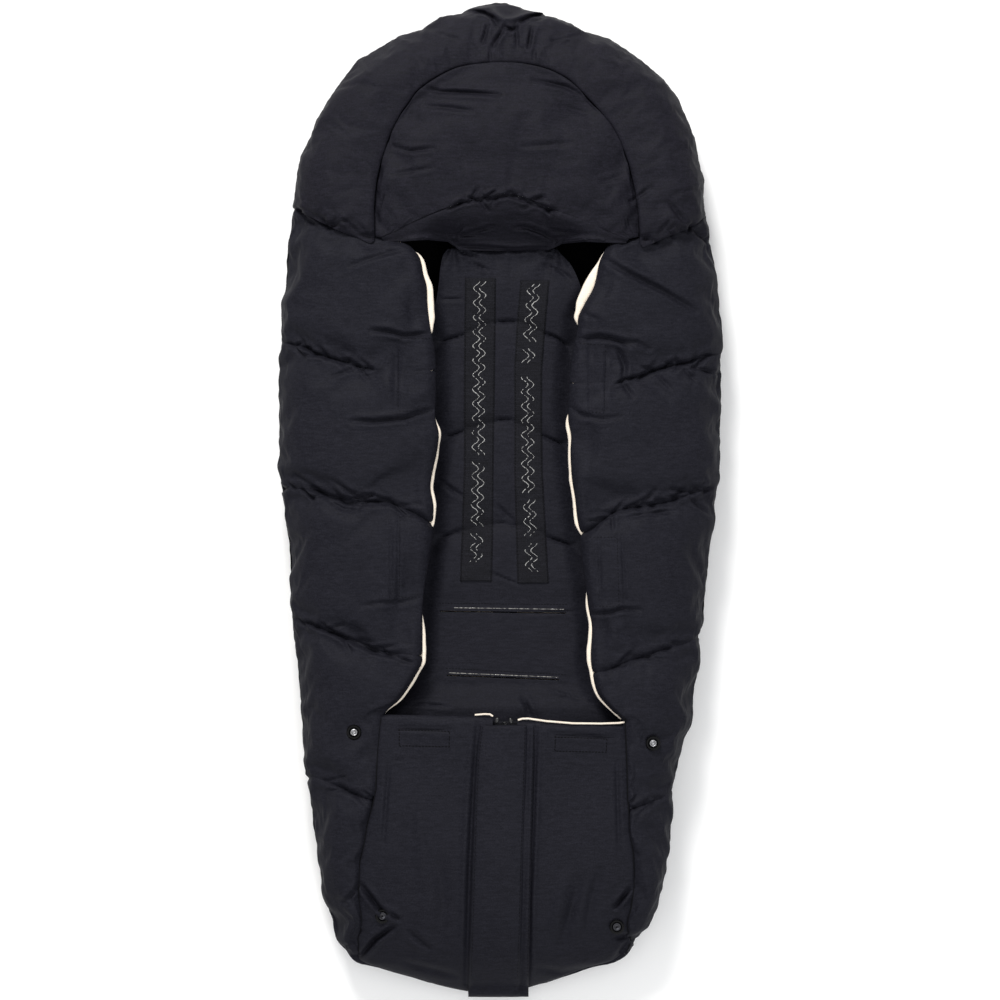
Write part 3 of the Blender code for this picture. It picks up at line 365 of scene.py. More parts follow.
def plain(name, color, roughness, grain, depth, **inputs):
    """A moulded, coated or plated surface with a fine grain in its finish."""
    material, tree, shader, place = surface(name, color, roughness, **inputs)
    fine = noise(tree, place, grain, 3.0)
    rough = add(tree, "ShaderNodeMapRange", {"Value": fine, "From Min": 0.3, "From Max": 0.7,
                                             "To Min": max(0.05, roughness - 0.08), "To Max": roughness + 0.08})
    relief = add(tree, "ShaderNodeBump", {"Height": fine, "Distance": depth * 0.001, "Strength": 0.4})
    tree.links.new(rough["Result"], shader.inputs["Roughness"])
    tree.links.new(relief["Normal"], shader.inputs["Normal"])
    return material


# Silicone print on the elastic, dried slightly uneven
silicone = plain("grey_silicone_print", "a2a2a0", 0.3, 900.0, 0.08, Coat_Weight=0.4)
# Pale silicone line along each harness slot
pale_silicone = plain("pale_silicone_line", "8c8a86", 0.4, 900.0, 0.08, Coat_Weight=0.3)
# Polyester sewing thread, darker than the shell
thread = plain("black_polyester_thread", "0b0b0e", 0.85, 1500.0, 0.05, Specular_IOR_Level=0.1)
# Black painted zinc of rings and slider
painted_zinc = plain("black_painted_zinc", "0a0a0b", 0.3, 700.0, 0.04, Specular_IOR_Level=0.35)
# Dull black paint of the snap rings
painted_ring = plain("dull_black_paint", "040405", 0.3, 700.0, 0.04, Specular_IOR_Level=0.1)
# Nickel plating of sockets and studs
nickel = plain("nickel_plating", "a3a3a5", 0.22, 600.0, 0.02, Metallic=1.0)
# Blackened brass of the lower studs
gunmetal = plain("blackened_brass", "38383b", 0.26, 600.0, 0.02, Metallic=1.0)
# Moulded coil of the zip
nylon_coil = plain("black_nylon_coil", "141416", 0.4, 1200.0, 0.03, Coat_Weight=0.2)


# Meshes
made = {}


def mesh_object(name, points, faces, material):
    """A smooth piece from points in millimetres, kept under its name."""
    mesh = bpy.data.meshes.new(name)
    mesh.from_pydata((np.array(points) * 0.001).tolist(), [], faces)
    mesh.update()
    mesh.shade_smooth()
    mesh.materials.append(material)
    made[name] = bpy.data.objects.new(name, mesh)
    bpy.context.scene.collection.objects.link(made[name])
    return made[name]


def turned_out(mesh):
    """Turns all faces of a closed mesh outwards."""
    grown = bmesh.new()
    grown.from_mesh(mesh)
    bmesh.ops.recalc_face_normals(grown, faces=grown.faces)
    grown.to_mesh(mesh)
    grown.free()


def rim(index):
    """A grid's outermost points, in their order round it."""
    return np.concatenate([index[0, :], index[1:, -1], index[-1, -2::-1], index[-2:0:-1, 0]])


def grid_object(name, outer, inner, material, ends=False):
    """A closed cloth body between an outer and an inner grid of points. Its two ends may stay crisp."""
    rows, columns = outer.shape[:2]
    half = rows * columns
    index = np.arange(half).reshape(rows, columns)
    quads = np.stack([index[:-1, :-1], index[:-1, 1:], index[1:, 1:], index[1:, :-1]], -1).reshape(-1, 4)
    ring = rim(index)
    after = np.roll(ring, -1)
    walls = np.stack([after, ring, ring + half, after + half], -1)
    faces = np.concatenate([quads, quads[:, ::-1] + half, walls])
    obj = mesh_object(name, np.concatenate([outer.reshape(-1, 3), inner.reshape(-1, 3)]), faces.tolist(),
                      material)
    mesh = obj.data
    if sum(f.center.dot(f.normal) * f.area for f in mesh.polygons) < 0:
        mesh.flip_normals()
    if ends:
        crisp = {int(i) for i in np.concatenate([index[0], index[-1]])}
        crease = mesh.attributes.new("crease_edge", "FLOAT", "EDGE")
        sharp = mesh.attributes.new("sharp_edge", "BOOLEAN", "EDGE")
        for edge in mesh.edges:
            a, b = edge.vertices
            if a in crisp and b in crisp and a // columns == b // columns:
                crease.data[edge.index].value, sharp.data[edge.index].value = 1.0, True
    return obj


def below(grid, thick):
    """A grid of points moved straight down."""
    return grid - np.array([0, 0, thick])


def held(shape, inside=0):
    """How firmly seams hold a piece: round its outer grid, at some places inside, and all its inner grid."""
    hold = np.zeros(shape)
    hold[0, :] = hold[-1, :] = hold[:, 0] = hold[:, -1] = 1
    return np.concatenate([np.maximum(hold, inside).ravel(), np.ones(hold.size)])


def converted(obj):
    """The object with its modifiers worked into its mesh."""
    graph = bpy.context.evaluated_depsgraph_get()
    mesh = bpy.data.meshes.new_from_object(obj.evaluated_get(graph), preserve_all_data_layers=True,
                                           depsgraph=graph)
    obj.modifiers.clear()
    obj.data = mesh
    return obj


def finer(obj, levels=1):
    """The object with its mesh subdivided and smoothed."""
    smooth = obj.modifiers.new("finer", "SUBSURF")
    smooth.levels = smooth.render_levels = levels
    return converted(obj)


def puffed(obj, hold, pressure=4.0, slack=0.04, most=6.0, levels=2, steps=18):
    """The wadding pushes the shell out between the held seams, and the spare cloth creases beside them."""
    before = np.array([v.co for v in obj.data.vertices])
    group = obj.vertex_groups.new(name="held")
    for i, weight in enumerate(hold):
        group.add([i], float(weight), "REPLACE")
    cloth = obj.modifiers.new("wadding", "CLOTH")
    settings = cloth.settings
    settings.vertex_group_mass = "held"
    settings.pin_stiffness = 1.0
    settings.quality = 5
    settings.mass = 0.15
    settings.tension_stiffness = settings.compression_stiffness = 12
    settings.shear_stiffness = 6
    settings.bending_stiffness = 0.25
    settings.shrink_min = -slack
    settings.use_pressure = True
    settings.uniform_pressure_force = pressure
    settings.effector_weights.gravity = 0
    cloth.collision_settings.use_collision = False
    cloth.collision_settings.use_self_collision = False
    cloth.point_cache.frame_start, cloth.point_cache.frame_end = 1, steps
    for step in range(1, steps + 1):
        bpy.context.scene.frame_set(step)
    converted(obj)
    bpy.context.scene.frame_set(1)
    move = np.array([v.co for v in obj.data.vertices]) - before
    length = np.linalg.norm(move, axis=1, keepdims=True)
    move *= np.minimum(1, most * 0.001 / np.maximum(length, 1e-9))
    obj.data.vertices.foreach_set("co", (before + move).astype(np.float32).ravel())
    obj.vertex_groups.clear()
    obj.data.update()
    return finer(obj, levels)


def outward(points):
    """Direction away from the padded body, which is the same on both sides of a seam."""
    x, y, z = points.T
    wide = np.where(x < 0, half_width("left", y), half_width("right", y))
    half = height(y) / 2
    across = np.sign(x) * np.minimum(1, np.abs(x) / wide) ** (POWER - 1) / wide
    up = np.sign(z - half) * np.minimum(1, np.abs(z - half) / half) ** (POWER - 1) / half
    aim = np.stack([across, 0 * x, up + 1e-6], -1)
    return aim / np.linalg.norm(aim, axis=1, keepdims=True)


def creased(obj, amount):
    """Moves each point outward by an amount, in millimetres, that is worked out from its place."""
    mesh = obj.data
    points = np.array([v.co for v in mesh.vertices]) * 1000
    normals = outward(points)
    moved = points + normals * amount(points, normals)[:, None]
    # What swells below the floor is pressed flat on it
    moved[:, 2] = np.maximum(moved[:, 2], FLOOR_GAP)
    mesh.vertices.foreach_set("co", (moved * 0.001).astype(np.float32).ravel())
    mesh.update()
    return obj


# Padded cells of the sides
def cell_places(side, top, bottom, edge, rows, columns):
    """Places of a cell's grid from its side to its edge, with the width there and the gaps to its seams."""
    v = np.linspace(0, 1, rows)[:, None]
    s = np.linspace(0, 1, columns)[None, :]
    far = np.full((rows, columns), 200.0)
    for _ in range(6):
        d = top(far) + (bottom(far) - top(far)) * v
        wide = HALF[side](d)
        limit = np.arccos(np.clip(edge(d) / wide, 0, 1) ** (POWER / 2))
        turn = s * limit
        far = wide * np.cos(turn) ** (2 / POWER)
    rise = np.sin(turn) ** (2 / POWER)
    length = bottom(far) - top(far)
    gap = np.minimum(v, 1 - v) * length
    return far, d, rise, wide, gap, far - edge(d)


def seam_dip(gap):
    """How far a quilt seam draws the cloth in, at a distance from it."""
    return sum(deep * (1 - puff(gap, reach)) for deep, reach in SEAM_DIPS)


def cell_grids(side, top, bottom, edge, columns, fades=(0, 0), edge_drop=7.0):
    """Grids of one quilted cell. A seam fades out where it comes nearer the middle than its fade."""
    middle = np.array([140.0])
    rows = max(8, int(abs(bottom(middle) - top(middle))[0] / CELL) + 1)
    far, d, rise, wide, gap, inward = cell_places(side, top, bottom, edge, rows, columns)
    v = np.linspace(0, 1, rows)[:, None]
    length = bottom(far) - top(far)
    dip = seam_dip(v * length) * ease((far - fades[0] + 14) / 28)
    dip += seam_dip((1 - v) * length) * ease((far - fades[1] + 14) / 28)
    y = HOOD_Y - d
    tall = height(y)
    dent = dip * ease(rise * 1.6) + edge_drop * (1 - 0.6 * puff(inward, 5) - 0.4 * puff(inward, 20))
    thick = SEAM_THICK + WADDING * np.clip(1 - dip / 8, 0, 1) * puff(inward, 45)
    z = np.maximum(tall / 2 + (tall / 2 - dent) * rise, FLOOR_GAP)
    across = HANDS[side] * far
    inner_z = tall / 2 + np.maximum(0, tall / 2 - dent - thick) * rise
    inner = np.stack([across * (wide - thick) / wide, y, inner_z], -1)
    return np.stack([across, y, z], -1), inner, held(far.shape, np.clip(1 - gap / 9, 0, 1) * 0.8)


# Creases of the sides: depth, width, then distances from the middle and from the hood's end along each
CREASES = [
    (2.2, 2.0, -149, 268, -133, 262, -111, 255, -94, 251),
    (4.0, 2.2, -128, 332, -111, 333, -94, 337, -72, 335),
    (3.6, 2.2, -147, 422, -125, 422, -94, 419, -83, 415, -68, 411), (2.0, 3.2, -103, 344, -104, 411),
    (1.6, 2.0, -137, 605, -118, 602, -99, 602, -79, 597), (1.2, 1.4, -100, 514, -101, 600),
    (1.0, 1.4, -108, 520, -108, 598), (2.0, 1.8, -103, 657, -85, 662), (1.8, 1.6, -167, 378, -142, 368),
    (1.4, 1.5, -131, 378, -117, 372), (1.6, 1.5, -158, 358, -139, 367),
    (4.0, 2.6, 102, 260, 127, 275, 159, 291, 195, 312), (1.4, 2.4, 80, 314, 98, 322),
    (3.8, 2.3, 78, 341, 98, 338, 114, 341, 130, 348), (2.6, 2.0, 114, 341, 136, 344, 149, 351),
    (3.4, 2.2, 114, 348, 120, 357, 124, 368, 122, 382), (2.4, 2.0, 118, 380, 132, 398),
    (1.6, 1.6, 195, 355, 189, 366), (1.4, 1.6, 175, 357, 177, 368), (2.0, 1.8, 157, 377, 170, 389),
    (1.8, 1.8, 182, 369, 195, 382), (2.0, 1.8, 191, 368, 218, 374),
    (2.0, 2.2, 70, 408, 80, 416, 100, 420, 118, 418), (1.2, 1.3, 89, 345, 89, 416),
    (1.2, 1.3, 106, 346, 104, 418), (2.4, 2.0, 139, 506, 154, 491), (1.8, 1.6, 111, 513, 112, 530),
    (2.2, 1.8, 128, 517, 151, 513, 175, 511), (2.0, 1.8, 189, 499, 208, 514),
    (3.0, 2.0, 90, 614, 111, 611, 121, 608, 139, 609), (1.1, 1.3, 98, 535, 100, 606),
    (1.1, 1.3, 121, 535, 124, 606), (2.6, 2.0, -203, 475, -172, 496, -151, 503, -115, 506),
    (2.8, 2.0, -165, 481, -148, 493, -132, 501, -111, 502), (2.4, 1.8, -144, 492, -118, 498, -106, 503),
    (2.2, 2.0, -179, 496, -155, 509, -141, 510),
    (2.6, 1.8, -191, 622, -172, 629, -144, 642, -118, 653, -103, 655), (1.8, 1.5, -179, 621, -167, 631),
    (1.8, 1.6, 167, 232, 173, 239), (2.4, 2.0, 186, 226, 209, 243), (2.0, 1.8, -195, 217, -183, 228),
    (2.0, 1.6, -167, 225, -160, 218), (2.0, 1.8, -175, 231, -158, 226), (2.2, 1.8, 220, 642, 214, 652),
    (2.6, 2.4, -139, 884, -113, 911), (2.6, 2.4, -142, 958, -109, 929), (1.8, 2.0, -157, 947, -142, 939),
    (2.0, 2.0, -139, 884, -155, 900), (2.6, 2.4, 133, 884, 112, 905), (2.4, 2.4, 138, 944, 124, 930),
]
for (side, hand), seed in zip(HANDS.items(), (3, 4)):
    for key, depth, spacing in (("A", 2.4, 9), ("B", 2.2, 8), ("C", 2.6, 8), ("D", 2.2, 9), ("E", 2.0, 11)):
        nearest = {"B": 121, "D": 104}.get(key, 96)
        line = [(hand * far, d) for far, d in SEAMS[side][key] if far >= nearest]
        CREASES += pleats(line, seed * 10 + ord(key), spacing, 19, depth)
for side, hand in HANDS.items():
    CREASES.append((1.6, 1.5, *(v for far, d in SEAMS[side]["B"] if far > 118 for v in (hand * far, d))))


# Middles of the upper snaps, with the height of the cloth under each
SNAPS = {"left": (-145, -232, 92.5), "right": (152, -243, 90.5)}


def side_creases(points, normals):
    """Creases of the photographed cloth, with soft long folds between them and a dimple at each snap."""
    x, y, z = points.T
    d = HOOD_Y - y
    folds = ripple(x * 0.35 + y * 0.12, y - 0.3 * np.abs(x), 23, 5) * 0.8 + ripple(x, y, 48, 7) * 1.2
    fine = ripple(x * 0.5, y + 0.2 * x, 6, 6) * 0.16
    amount = (folds + fine - strokes(x, d, CREASES)) * np.clip(z / 20, 0, 1)
    steep = np.maximum(normals[:, 2], 0.3)
    for px, py, level in SNAPS.values():
        away = np.hypot(x - px, y - py)
        rise = z + amount * normals[:, 2] - (level + 0.3 * np.maximum(0, away - 6.8))
        amount = amount - np.where((away < 32) & (normals[:, 2] > 0.3), np.maximum(0, rise) / steep, 0)
    return amount


def padded_cell(name, grids, amount, material=shell_cloth, ends=True, **options):
    """A swollen and creased piece from its outer and inner grids and their hold."""
    outer, inner, hold = grids
    return creased(puffed(grid_object(name, outer, inner, material, ends), hold, **options), amount)


# Quilted cells of a wing: the seams over and under each, and how far from the middle each seam fades out
WING_CELLS = (("upper", "A", "B", (0, 128)), ("middle", "B", "C", (128, 0)), ("lower", "C", "D", (0, 98)))
# Distance at which a wing's free edge ends on the foot section, and that of the last seam before the foot's end
WING_END, FOOT_SEAM = 716, 955


def side_edge(side):
    """Edge of a side panel towards the middle, along the wing and then along the foot section's seam."""
    return lambda d: np.where(d < WING_END, EDGE[side](d), PANEL_SEAM[side](d))


for side in HANDS:
    for name, top, bottom, fades in WING_CELLS:
        cell = cell_grids(side, SEAM[side][top], SEAM[side][bottom], EDGE[side], 40, fades)
        padded_cell(f"{side}_wing_{name}_cell", cell, side_creases)
    cell = cell_grids(side, SEAM[side]["D"], SEAM[side]["E"], side_edge(side), 40, (98, 0))
    padded_cell(f"{side}_side_cell", cell, side_creases)
    cell = cell_grids(side, SEAM[side]["E"], lambda x: FOOT_SEAM + 0 * x, PANEL_SEAM[side], 30, edge_drop=13.0)
    padded_cell(f"{side}_foot_side_cell", cell, side_creases)


# Hood: what the wadding adds to its thickness
HOOD_WADDING = 14
# Outline of the roll, from its left end round the hood to its right end, and the face opening underneath
OUTLINE = [(-w, d) for d, w in OUTLINE_LEFT[14::-1]] + [(w, d) for d, w in OUTLINE_RIGHT[:17]]
OUTLINE[-1] = (204, 216)
FACE_WIDE, FACE_LOW, FACE_TALL = 120, 233, 148
FACE = [(-FACE_WIDE * math.cos(a), FACE_LOW - FACE_TALL * math.sin(a) ** 0.8)
        for a in np.linspace(0, math.pi, 25)]


def wing_seam(x):
    """Distance of the seam between the hood and the wings."""
    return np.where(x < 0, SEAM["left"]["A"](np.abs(x)), SEAM["right"]["A"](np.abs(x)))


def hood_grids(rows=180, columns=64):
    """The roll turns round the hood's outline, from the arch seam on top to the face opening underneath."""
    v = np.linspace(0, 1, rows)
    far, arch, face = along_line(OUTLINE, v), along_line(ARCH, v), along_line(FACE, v)
    a = np.linspace(-math.pi / 2, math.pi / 2, columns)
    out = np.cos(a)[None, :, None] ** (2 / POWER)
    near = np.where(a[None, :, None] > 0, arch[:, None], face[:, None])
    flat = near + (far[:, None] - near) * out
    for side, share in (("left", v), ("right", 1 - v)):
        straight = np.abs(flat[..., 0])
        end = near[0 if side == "left" else -1, 0], far[0 if side == "left" else -1]
        (x0, d0), (x1, d1) = end
        on_line = d0 + (d1 - d0) * (straight - abs(x0)) / (abs(x1) - abs(x0))
        flat[..., 1] += (SEAM[side]["A"](straight) + 1.2 - on_line) * (1 - ease(share * 9))[:, None]
    gap_end = (wing_seam(flat[..., 0]) - flat[..., 1]).clip(0)
    gap_seam = np.linalg.norm(flat - near, axis=-1)
    full = puff(gap_end, 40) * puff(gap_seam, 34)
    y = HOOD_Y - flat[..., 1]
    tall = height(y)
    rise = (np.sign(a) * np.abs(np.sin(a)) ** (2 / POWER))[None, :]
    dip = seam_dip(gap_end) + 0.55 * seam_dip(gap_seam)
    dent = dip * ease(np.abs(rise) * 1.6)
    dent = dent - np.where(a[None, :] < 0, 6 * full * ease(-rise * 1.5), 0)
    z = np.maximum(FLOOR_GAP, tall / 2 + (tall / 2 - dent) * rise)
    thick = np.minimum(4 + HOOD_WADDING * full, 0.35 * tall)
    centre = np.array([0.0, OUTLINE[-1][1]])
    reach = np.linalg.norm(far - centre, axis=1)[:, None, None]
    shrunk = centre + (far[:, None] - centre) * (1 - thick[..., None] / reach)
    flat_in = near + (shrunk - near) * out
    inner_z = tall / 2 + (tall / 2 - np.maximum(dent, 0) - thick) * rise
    inner = np.stack([flat_in[..., 0], HOOD_Y - flat_in[..., 1], inner_z], -1)
    return np.stack([flat[..., 0], y, z], -1), inner, held(full.shape, (np.abs(a) < 0.2)[None, :] * 0.5)


# Creases of the hood: depth, width and the points along each. A depth below nothing is a raised fold
HOOD_CREASES = [
    (-3.2, 2.4, -36, 8, -25, 7.5, -10, 7, -3, 15.5, 4, 20.5, 13, 19.5, 22, 15.5, 35, 10.5, 54, 11.5),
    (5.0, 1.5, -25, 11, -16, 12.4, -7, 18, -3, 25.5), (4.5, 1.5, 20, 22.5, 30.5, 16, 41, 13, 54, 14.5),
    (4.0, 1.6, -12.4, 26, -14.5, 35, -17.5, 44), (4.0, 1.6, 4, 27, 1.5, 33.5, -4.4, 42, -7.3, 49),
    (5.0, 1.7, 5, 28.5, 11.6, 31, 17, 28.5), (3.0, 1.4, 16, 23, 16.7, 35, 17, 46.5),
    (4.6, 1.6, 32, 29, 30, 39, 28.4, 50), (-1.6, 2.0, 10, 25, 11, 27), (1.6, 1.3, -10, 49, -10, 65),
    (0.8, 1.2, 10, 48.7, 28, 49.5), (1.2, 1.4, -61, 34, -39, 41), (1.2, 1.4, 43, 44, 60, 41, 80, 35),
    (1.5, 1.6, 60, 47, 71, 42), (1.4, 1.4, 34, 50, 34, 63), (3.4, 2.0, -76, 89, -60, 94, -30, 95.5, 0, 98),
    (2.0, 2.0, -75, 108.5, -52, 110.5, -28, 114), (2.4, 2.0, 33, 82, 51, 86, 65, 89, 80, 97),
    (2.4, 1.8, -107, 149, -90, 153.5, -66, 151.5), (1.4, 1.8, -107, 177, -66, 170.5),
    (1.4, 2.4, 20, 150, 70, 146), (1.5, 2.2, 100, 185, 122, 178), (1.3, 2.6, 58, 108, 88, 116),
    (2.0, 1.8, 128, 205, 150, 190), (3.0, 2.0, 168, 205, 183, 225), (1.2, 1.8, 172, 196, 198, 190),
    (2.4, 1.7, -49, 207, -18, 202, 8, 198, 27, 204, 46, 210, 57, 214), (2.0, 1.6, -21, 201, -12, 213),
    (1.6, 2.2, 45.5, 212, 44, 227), (2.6, 1.5, -45, 236, -37, 228), (2.6, 1.6, -44, 237, -25, 233, -8, 228),
    (2.0, 1.5, -40, 237, -14, 236), (3.2, 1.7, 15, 229, 27, 229, 41, 234, 55, 241),
    (2.2, 1.6, 54, 232, 76, 235), (3.6, 1.6, -40, 247, -14, 248, 12, 250.4, 50, 249),
    (-1.6, 1.8, -92, 241, -70, 238, -50, 239), (-1.6, 1.8, 58, 241, 80, 240, 103, 241),
]
HOOD_CREASES += pleats([(-44, 206), (-18, 201), (8, 197.5), (27, 203.5), (57, 213)], 5, 6, 13, 2.6, 30)


def hood_creases(points, normals):
    """Folds across the padded roll, and puckers along the arch seam and the seam to the wings."""
    x, y, z = points.T
    d = HOOD_Y - y
    turn = np.arctan2(y - 270, x) * 150
    reach = np.hypot(x * 0.95, y - 280)
    folds = ripple(turn, reach * 0.3, 34, 8) * 1.6 + ripple(turn + reach * 0.5, reach * 0.5, 15, 9) * 0.7
    gap = np.abs(d - wing_seam(x))
    pucker = ripple(x + 0.3 * y, y * 0.2, 10, 4) * 0.8 * np.exp(-gap / 30) * ease(gap / 3)
    return (folds + pucker - strokes(x, d, CREASES + HOOD_CREASES)) * np.clip(z / 20, 0, 1)


hood = padded_cell("padded_hood_roll", hood_grids(), hood_creases, hood_cloth, levels=1)


def between(low, high, rows, columns):
    """Flat places between two lines of (distance across, distance from the hood's end)."""
    shares = np.linspace(0, 1, columns)
    a, b = along_line(low, shares), along_line(high, shares)
    v = np.linspace(0, 1, rows)[:, None, None]
    return a[None] + (b - a)[None] * v


def arch_grids(rows=38, columns=60):
    """The panel swells between the yoke's seam and the arch seam."""
    flat = between(YOKE_ARC, ARCH, rows, columns)
    x, y = flat[..., 0], HOOD_Y - flat[..., 1]
    tip = np.linalg.norm(flat[-1] - flat[0], axis=-1)[None]
    v = np.linspace(0, 1, rows)[:, None]
    full = puff(tip * v, 34) * puff(tip * (1 - v), 38)
    z = crown(x, y) - 0.4 * seam_dip(tip * v) - 0.55 * seam_dip(tip * (1 - v))
    return np.stack([x, y, z], -1), np.stack([x, y, z - 3 - 10 * full], -1), held(x.shape)


def arch_creases(points, normals):
    """Soft folds that cross the arched panel from side to side."""
    x, y, _ = points.T
    folds = ripple(x * 0.28, y + 0.0006 * x * x, 15, 12) * 1.5 + ripple(x * 0.4 + 0.2 * y, y, 27, 13) * 1.6
    return folds + ripple(x * 0.5, y, 8, 14) * 0.25 - strokes(x, HOOD_Y - y, HOOD_CREASES)


arch = padded_cell("padded_arch_panel", arch_grids(), arch_creases, hood_cloth, pressure=3.0)


def yoke_grid(rows=52, columns=200):
    """The gathered strip falls from the arched panel to the back panel between the two side openings."""
    flat = between(YOKE_ARC, YOKE_LOW, rows, columns)
    x, d = flat[..., 0], flat[..., 1]
    y = HOOD_Y - d
    v = np.linspace(0, 1, rows)[:, None]
    middle = ease((90 - np.abs(x - 4)) / 45)
    top = crown(x, y) - 4.2
    low = np.minimum(top - 3, 91 - 27 * middle)
    z = top[:1] + (low[-1:] - top[:1]) * ease(v) + 5.0 * np.sin(math.pi * v) * middle[-1:]
    z = z + ripple(x * 0.5, d, 12, 22) * 0.6 * middle[-1:] - strokes(x, d, HOOD_CREASES)
    return np.stack([x, y - 1.5 * (v > 0.99), z], -1)


yoke = yoke_grid()
yoke = grid_object("gathered_hood_yoke", yoke, below(yoke, 4), hood_cloth)


# Recessed back panel: heights of its padded face, of its underside and of the lining's underside
BACK_TOP, BACK_LOW, LINING_LOW = 61.0, 49.5, 46.8
# Distances of its two ends
BACK_ENDS = (249, 765)
# Its quilted channels: across, distance from the hood's end
CHANNELS = (
    ((-90, 350), (-64, 343), (-37, 335), (-5, 323), (9, 321), (16, 322), (43, 333), (57, 338), (70, 348),
     (95, 356)),
    ((-90, 446), (-58, 439), (-37, 431), (-5, 422), (5, 419), (15, 423), (42, 435), (64, 444), (95, 452)),
    ((-90, 552), (-67, 541), (-37, 531), (0, 524), (30, 528), (48, 537), (79, 547), (95, 553)),
)
CHANNEL = [curve_through(points) for points in CHANNELS]


def back_height(x, y):
    """Height of the thin quilted back: shallow channels, then flat round the harness slots."""
    d = HOOD_Y - y
    full = np.ones(np.broadcast(x, d).shape)
    for line in CHANNEL:
        full = full * puff(np.abs(d - line(x)), 30)
    flat = ease((d - 588) / 14)
    full = full * (1 - flat) + 0.75 * flat
    neck = np.exp(-((d - 250) / 22) ** 2)
    gather = (ripple(x, d * 0.1, 5.2, 31) * 1.3 + ripple(x, d * 0.1, 11, 32) * 1.5) * neck
    rays = 0
    for px, pd, hand in ((-46, 245, -1), (57, 247, 1)):
        angle = np.arctan2(x - px, d - pd + 2)
        away = np.hypot(x - px, d - pd)
        rays = rays + np.sin(angle * 9 + 2 * hand) * 2.2 * np.exp(-away / 30)
    soft = ripple(x * 0.5 + 0.25 * d, d, 24, 33) * 1.1 + ripple(x, d * 0.6, 13, 34) * 0.45
    return BACK_TOP - 7.5 * (1 - full) + soft * (1 - 0.6 * flat) + gather + rays - 3.0 * neck


# Creases of the back panel: depth, width and the points along each
BACK_CREASES = [
    (2.2, 2.2, -63, 479, -37, 497), (1.6, 2.0, -5, 504, 14, 522), (1.8, 1.6, -90, 540, -62, 538, -38, 529),
    (1.4, 1.6, -62, 300, -37, 299), (1.4, 1.5, -64, 343, -52, 339, -37, 335), (1.6, 1.5, -62, 440, -37, 431),
    (1.6, 1.5, 44, 333, 57, 338, 70, 348), (1.6, 1.5, 43, 436, 64, 445), (1.8, 1.6, 48, 537, 79, 548),
    (1.2, 1.4, -4, 322, 15, 321), (1.2, 1.4, -4, 420, 14, 419), (1.4, 1.4, -8, 573, 18, 584),
    (1.6, 1.6, 14, 230, 36, 228, 55, 240), (2.0, 1.8, -22, 251, 20, 251, 52, 249),
    (1.4, 1.5, 40, 254, 58, 259), (1.6, 1.7, 45, 266, 60, 271, 70, 279), (2.0, 1.7, -45, 239, -28, 229),
    (1.6, 1.5, -40, 241, -16, 236), (2.2, 1.8, -46, 246, -20, 249), (1.8, 1.6, -42, 251, -22, 258),
    (1.8, 1.8, -28, 264, -12, 270), (1.2, 1.5, 20, 613, 80, 611), (3.0, 2.2, 23, 698, 27, 706, 30, 716),
    (1.4, 1.6, -92, 702, -50, 706), (1.2, 1.6, 50, 690, 84, 700),
]


# Half width of the back panel on each side, which runs on under the wings
PANEL_LEFT = curve_through(((249, 52), (256, 57), (264, 59), (290, 62), (305, 65), (320, 80), (345, 130),
                            (360, 150), (765, 150)))
PANEL_RIGHT = curve_through(((249, 57), (254, 61), (267, 72), (288, 81), (302, 85), (320, 104), (350, 150),
                             (765, 150)))


def back_grid():
    """Upper face of the quilted back, sunk between the wings and raised again where the foot section starts."""
    u = np.linspace(-1, 1, 170)[None, :]
    d = np.linspace(*BACK_ENDS, 300)[:, None]
    low, high = PANEL_LEFT(d), PANEL_RIGHT(d)
    x = np.where(u < 0, 4 + (4 + low) * u, 4 + (high - 4) * u)
    y = HOOD_Y - d + 0 * x
    z = back_height(x, y) - strokes(x, d, BACK_CREASES)
    edge = np.where(x < 0, EDGE["left"](d), EDGE["right"](d))
    z = np.minimum(z, 64) - 8.5 * ease((np.abs(x) - edge + 20) / 22)
    z = z + 13 * ease((d - 682) / 28) * (1 - 0.45 * (x / 120) ** 2)
    return np.stack([x + 0 * y, y, np.maximum(z, 50.5)], -1)


def slab(name, outer, low, material):
    """A closed body under a grid of points, with one flat face beneath."""
    rows, columns = outer.shape[:2]
    index = np.arange(rows * columns).reshape(rows, columns)
    quads = np.stack([index[:-1, :-1], index[1:, :-1], index[1:, 1:], index[:-1, 1:]], -1).reshape(-1, 4)
    ring = rim(index)
    base = outer.reshape(-1, 3)[ring].copy()
    base[:, 2] = low
    under = np.arange(len(ring)) + rows * columns
    walls = np.stack([ring, np.roll(ring, -1), np.roll(under, -1), under], -1)
    faces = [*quads.tolist(), *walls[:, ::-1].tolist(), under.tolist()]
    obj = mesh_object(name, np.concatenate([outer.reshape(-1, 3), base]), faces, material)
    turned_out(obj.data)
    obj.data.set_sharp_from_angle(angle=math.radians(50))
    return obj


back = slab("quilted_back_panel", back_grid(), BACK_LOW, shell_cloth)
under = back_grid()[::4, ::3] * (0.96, 1, 1)
under[..., 2] = BACK_LOW - 0.5
back_lining = slab("back_lining_jersey", under, LINING_LOW, cream_jersey)


